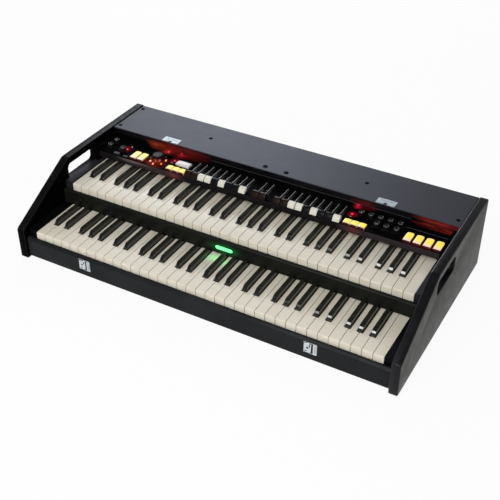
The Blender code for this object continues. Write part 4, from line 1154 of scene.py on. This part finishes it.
def makeMarks():
    s = markSettings
    low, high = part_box("selector_knob")
    middle = ((low.x + high.x) / 2, (low.y + high.y) / 2)
    shape = bmesh.new()
    slab(shape, roundedOutline(s["length"], s["width"], s["width"] * s["round"]), 0, s["rise"])
    mark = newObject("markShape", shape)
    for name in ("selectorMarks", "unlitMarks"):
        finishName, places = s[name]
        repeated(name, mark, finishName, [
            ((*polar(radius, math.radians(degrees), *middle), deckTop), (0, 0, math.radians(s["turn"])))
            for degrees, radius in places])
    discard(mark)


makeLamps()
makeMarks()
print("lamps and marks done")


# Printed marks on the deck: ticks round the knobs and plain dashes, without letters

printSettings = {
    "ticks": 11, "sweep": 300, "clearance": 0.0022, "tickLength": 0.0013, "tickWidth": 0.0003, "rise": 0.0001,
    "round": 0.3,
    # X, Y, length and width of each dash
    "printWhite": ((-0.246, 0.069, 0.0050, 0.0013), (0.2147, 0.069, 0.0050, 0.0013)),
    "printGrey": ((-0.387, 0.0445, 0.0150, 0.0078), (-0.360, 0.0415, 0.0130, 0.0056),
                  (-0.390, 0.070, 0.0080, 0.0014), (0.3815, 0.0900, 0.0950, 0.0010)),
}


def makePrints():
    s = printSettings
    shape = bmesh.new()
    slab(shape, roundedOutline(s["tickLength"], s["tickWidth"], s["tickWidth"] * s["round"], 1), 0, s["rise"])
    tick = newObject("tickShape", shape)
    places = []
    for number in range(1, 12):
        low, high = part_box("knob_%02d" % number)
        reach = (high.x - low.x) / 2 + s["clearance"]
        for index in range(s["ticks"]):
            angle = math.radians(270 + (360 - s["sweep"]) / 2 + s["sweep"] * index / (s["ticks"] - 1))
            point = polar(reach, angle, (low.x + high.x) / 2, (low.y + high.y) / 2)
            places.append(((*point, deckTop), (0, 0, angle)))
    repeated("knobTicks", tick, "printGrey", places)
    discard(tick)
    for finishName in ("printWhite", "printGrey"):
        shape = bmesh.new()
        for x, y, length, width in s[finishName]:
            slab(shape, roundedOutline(length, width, width * s["round"], 2), deckTop, deckTop + s["rise"],
                 at=(x, y))
        dress(newObject(finishName + "Dashes", shape, finishName), "cabinet")


makePrints()
print("prints done")


# Green lens on the rail between the manuals

lensSettings = {"centre": (-0.007, 0.0880), "width": 0.042, "height": 0.0078, "round": 0.48, "proud": 0.0018,
                # size of each ring, and how far it stands out
                "rings": ((0.55, 1.0), (0.80, 0.86), (0.95, 0.5), (1.0, 0.0), (1.0, -0.2))}


def makeLens():
    s = lensSettings
    x, z = s["centre"]
    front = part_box("divider_rail")[0].y
    rings = []
    for size, out in s["rings"]:
        height = s["height"] * size
        outline = roundedOutline(s["width"] * size, height, height * s["round"])
        rings.append([(x + px, front - s["proud"] * out, z + pz) for px, pz in outline])
    shape = bmesh.new()
    lofted(shape, rings)
    dress(smoothed(newObject("greenLens", shape, "greenLight"), 1.0), "cabinet")


makeLens()
print("lens done")


# Solids that stay as they are, with better finishes

for node, finishName in (("base_board", "plywood"), ("lower_key_frame", "frameBlack"),
                         ("upper_key_frame", "framePaint"), ("main_circuit_board", "boardLacquer"),
                         ("back_panel", "cabinetPaint")):
    for each in frame["nodes"][node].material_slots:
        each.material = material[finishName]
print("remaining solids finished")


# Back: a framed power inlet with its pins, plates with sockets and louvres, and screws

backSettings = {
    "inlet": (0.330, 0.0545), "inletInner": (0.0262, 0.0192), "inletOuter": (0.0380, 0.0300),
    "frameRise": 0.0014, "inletEdge": 0.0004,
    "pins": ((-0.0070, -0.0030), (0.0070, -0.0030), (0, 0.0040)), "pinDepth": 0.006, "pocket": 0.009,
    "pinHalf": (0.0010, 0.0022), "overlap": 0.0005,
    # centre X and Z, width and height of the plates
    "plates": ((0.205, 0.0560, 0.150, 0.044), (-0.230, 0.0800, 0.160, 0.066)), "plateRise": 0.0007,
    "plateEdge": 0.0003,
    "jacks": tuple((0.180 + 0.0205 * index, 0.0560) for index in range(1, 5)), "jackRadius": 0.0058,
    "multiPin": (0.155, 0.0560), "multiPinRadius": 0.0130, "pinHoles": 11, "pinCircle": 0.55,
    "louvres": 15, "louvrePitch": 0.0090, "louvre": (0.0016, 0.025, 0.0009), "louvreEdge": 0.0008,
    "screws": ((-0.425, 0.022), (-0.425, 0.144), (-0.155, 0.144), (-0.155, 0.022), (0.135, 0.144),
               (0.090, 0.022), (0.425, 0.022), (0.425, 0.144), (0.135, 0.073), (0.275, 0.073),
               (0.135, 0.039), (0.275, 0.039), (-0.304, 0.107), (-0.156, 0.107), (-0.304, 0.053),
               (-0.156, 0.053)),
    "screwRadius": 0.0030, "screwRise": 0.0007, "screwTurn": 30, "baseTurn": 20,
    "baseScrewsX": (-0.43, -0.22, 0, 0.22, 0.43), "baseScrewsY": (-0.215, 0.22),
    # share of the radius and height of each ring
    "nut": ((0, 0.0002), (0.52, 0.0002), (0.56, 0.0010), (0.84, 0.0010), (0.90, 0.0007), (1, 0.0006),
            (1, -0.0002), (0, -0.0002)),
    "hole": ((0, 0.0003), (0.50, 0.0003), (0.50, 0), (0, 0)),
    "socket": ((0, 0.0003), (0.78, 0.0003), (0.81, 0.0011), (0.97, 0.0011), (1, 0.0007), (1, -0.0002),
               (0, -0.0002)),
    "pinHole": ((0, 0.0002), (1, 0.0002), (1, -0.0001), (0, -0.0001)), "pinHoleRadius": 0.0010,
}
facingBack = (-math.pi / 2, 0, 0)


def framed(shape, centre, outer, inner, low, high):     # a rectangular frame round an opening in the back
    rows = []
    for size, y in ((outer, low), (outer, high), (inner, high), (inner, low)):
        rows.append([shape.verts.new((centre[0] + sx * size[0] / 2, y, centre[1] + sz * size[1] / 2))
                     for sx, sz in ((-1, -1), (1, -1), (1, 1), (-1, 1))])
    for first, second in zip(rows, rows[1:] + rows[:1]):
        for index in range(4):
            after = (index + 1) % 4
            shape.faces.new((first[index], first[after], second[after], second[index]))


def makeInletAndPlates(face):
    s = backSettings
    x, z = s["inlet"]
    halfX, halfZ = s["pinHalf"]
    rear = face - s["pocket"]
    inlet, plates = bmesh.new(), bmesh.new()
    framed(inlet, s["inlet"], s["inletOuter"], s["inletInner"], face - sunk, face + s["frameRise"])
    for dx, dz in s["pins"]:
        block(inlet, (x + dx - halfX, rear - s["overlap"], z + dz - halfZ),
              (x + dx + halfX, rear + s["pinDepth"], z + dz + halfZ), 1)
    for x, z, width, height in s["plates"]:
        block(plates, (x - width / 2, face - sunk, z - height / 2),
              (x + width / 2, face + s["plateRise"], z + height / 2))
    inletItem = newObject("powerInlet", inlet, "jackPlastic", "nickelPlate")
    dress(softened(inletItem, s["inletEdge"], 2), "cabinet")
    dress(softened(newObject("backPlates", plates, "darkSteel"), s["plateEdge"], 2), "cabinet")


def makeSockets(plateFace):
    s = backSettings
    circle = s["multiPinRadius"] * s["pinCircle"]
    holes = [polar(circle, math.tau * (index + 0.5) / s["pinHoles"], *s["multiPin"])
             for index in range(s["pinHoles"])]
    for name, profile, radius, steps, finishName, places, out in (
        ("jackNuts", "nut", s["jackRadius"], 18, "nickelPlate", s["jacks"], 0),
        ("jackHoles", "hole", s["jackRadius"], 18, "blackScrew", s["jacks"], 0),
        ("multiPinSocket", "socket", s["multiPinRadius"], 32, "jackPlastic", [s["multiPin"]], 0),
        ("multiPinHoles", "pinHole", s["pinHoleRadius"], 8, "nickelPlate", holes, 0.0003),
    ):
        source = turned(name + "Shape", s[profile], steps, radius)
        repeated(name, source, finishName, [((x, plateFace + out, z), facingBack) for x, z in places])
        discard(source)


def makeLouvres(plateFace):
    s = backSettings
    halfX, halfY, top = s["louvre"]
    louvre = boxed("louvreShape", (-halfX, -halfY, -sunk / 2), (halfX, halfY, top))
    softened(louvre, s["louvreEdge"], 2)
    x, z = s["plates"][1][:2]
    shifts = [(index - (s["louvres"] - 1) / 2) * s["louvrePitch"] for index in range(s["louvres"])]
    repeated("backLouvres", louvre, "jackPlastic",
             [((x + shift, plateFace, z), facingBack) for shift in shifts])
    discard(louvre)


def makeBackScrews(face, plateFace):
    s = backSettings
    screw = screwShape("backScrewShape", s["screwRadius"], s["screwRise"])
    places = []
    for x, z in s["screws"]:
        onPlate = any(abs(x - px) < width / 2 and abs(z - pz) < height / 2
                      for px, pz, width, height in s["plates"])
        places.append(((x, plateFace if onPlate else face, z), (facingBack[0], x * s["screwTurn"], 0)))
    repeated("backScrews", screw, "blackScrew", places)
    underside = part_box("base_board")[0].z
    repeated("baseScrews", screw, "darkSteel", [((x, y, underside), (math.pi, 0, x * s["baseTurn"]))
                                                for x in s["baseScrewsX"] for y in s["baseScrewsY"]])
    discard(screw)


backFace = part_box("back_panel")[1].y
backPlateFace = backFace + backSettings["plateRise"]
makeInletAndPlates(backFace)
makeSockets(backPlateFace)
makeLouvres(backPlateFace)
makeBackScrews(backFace, backPlateFace)
print("back done")


# Small parts in rows on the circuit board, some of them left out by chance

boardSettings = {
    "margin": 0.012, "level": 0.0258,
    "inputs": {"Columns": 34, "Rows": 9, "Share": 0.55, "Smallest": (0.003, 0.003, 0.002),
               "Largest": (0.013, 0.010, 0.007), "Seed": 11},
}


def boardTree():
    tree, given = startTree("partsOnBoard", Length="Float", Depth="Float", Place="Vector", Columns="Int",
                            Rows="Int", Share="Float", Smallest="Vector", Largest="Vector", Seed="Int",
                            Finish="Material")
    grid = addNode(tree, "GeometryNodeMeshGrid",
                   *[given[label] for label in ("Length", "Depth", "Columns", "Rows")])
    placed = addNode(tree, "GeometryNodeSetPosition", grid, Offset=given["Place"])
    size = addNode(tree, "FunctionNodeRandomValue", given["Smallest"], given["Largest"], Seed=given["Seed"],
                   settings={"data_type": "FLOAT_VECTOR"})
    kept = addNode(tree, "FunctionNodeRandomValue", settings={"data_type": "BOOLEAN"}, output=3,
                   Probability=given["Share"], Seed=given["Seed"])
    cube = addNode(tree, "GeometryNodeMeshCube", (1, 1, 1))
    parts = addNode(tree, "GeometryNodeInstanceOnPoints", placed, kept, cube, Scale=size)
    return endTree(tree, finished(tree, given["Finish"], parts))


def makeBoardParts():
    s = boardSettings
    low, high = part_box("main_circuit_board")
    size, middle = high - low, (low + high) / 2
    parts = newObject("boardParts", bpy.data.meshes.new("boardParts"))
    grown(parts, boardTree(), Length=size.x - 2 * s["margin"], Depth=size.y - 2 * s["margin"],
          Place=(middle.x, middle.y, s["level"]), Finish=material["jackPlastic"], **s["inputs"])
    dress(parts, "cabinet")


makeBoardParts()
print("board parts done")


# Floor, world and studio lamps

studioSettings = {
    "ambient": 0.30,
    "overhead": 0.16,                   # what glossy surfaces see above the backdrop
    "floorWhite": 0.94, "floorHalf": 6, "floorGrey": (0.82, 0.82, 0.82), "floorRough": 0.9,
    "floorLevel": -0.0002,
    "horizon": (0.06, 0.34),            # the white backdrop ends between these heights
    # name: place, aims at, width, depth, power in watts, colour
    "lamps": {
        "keyLamp": ((-0.18, -2.4, 2.1), (0, 0, 0.1), 1.04, 1.2, 62, (1.0, 0.99, 0.96)),
        "sideLamp": ((2.4, -0.4, 1.0), (0.3, 0, 0.1), 1.0, 1.2, 8, (1, 1, 1)),
        "rearLamp": ((-1.72, 2.60, 1.75), (-0.1, 0.1, 0.15), 1.5, 0.9, 45, (0.90, 0.93, 1.0)),
    },
}


def ray(tree, kind):
    return addNode(tree, "ShaderNodeLightPath", output="Is %s Ray" % kind)


def seenDirectly(tree, backdrop=1.0):       # 1 for what the camera sees, also in metal and glass
    inGloss = figured(tree, "MAXIMUM", ray(tree, "Glossy"), ray(tree, "Transmission"))
    return figured(tree, "MAXIMUM", ray(tree, "Camera"), figured(tree, "MULTIPLY", inGloss, backdrop))


def makeFloor():
    s = studioSettings
    half = s["floorHalf"]
    tree = startMaterial("paleFloor")[0]
    setShader(tree, {"Base Color": s["floorGrey"], "Roughness": s["floorRough"], "Specular IOR Level": 0.0})
    white = addNode(tree, "ShaderNodeEmission", (1, 1, 1), 1.0)
    share = figured(tree, "MULTIPLY", seenDirectly(tree), s["floorWhite"])
    both = addNode(tree, "ShaderNodeMixShader", share, tree.nodes["Principled BSDF"].outputs[0], white)
    feed(tree, tree.nodes["Material Output"].inputs["Surface"], both)
    shape = bmesh.new()
    corners = ((-half, -half), (half, -half), (half, half), (-half, half))
    shape.faces.new([shape.verts.new((x, y, s["floorLevel"])) for x, y in corners])
    floor = newObject("paleFloor", shape, "paleFloor")


def makeWorld():
    world = bpy.data.worlds.new("studio")
    scene.world = world
    world.use_nodes = True
    tree = world.node_tree
    height = along(tree, addNode(tree, "ShaderNodeTexCoord", output="Generated"), "Z")
    backdrop = ranged(tree, height, 1.0, 0.0, *studioSettings["horizon"])
    room = ranged(tree, ray(tree, "Glossy"), studioSettings["ambient"], studioSettings["overhead"], 0, 1)
    rest = figured(tree, "SUBTRACT", 1.0, room)
    strength = figured(tree, "ADD", room, figured(tree, "MULTIPLY", rest, seenDirectly(tree, backdrop)))
    background = tree.nodes["Background"].inputs
    feed(tree, background["Color"], (1, 1, 1))
    feed(tree, background["Strength"], strength)


def makeStudioLamps():
    for name, (place, aim, width, depth, power, colour) in studioSettings["lamps"].items():
        data = bpy.data.lights.new(name, "AREA")
        data.color = colour
        data.shape = "RECTANGLE"
        data.size = width
        data.size_y = depth
        data.energy = power
        stood(name, data, place, Vector(aim) - Vector(place))


makeFloor()
makeWorld()
makeStudioLamps()
print("studio done")
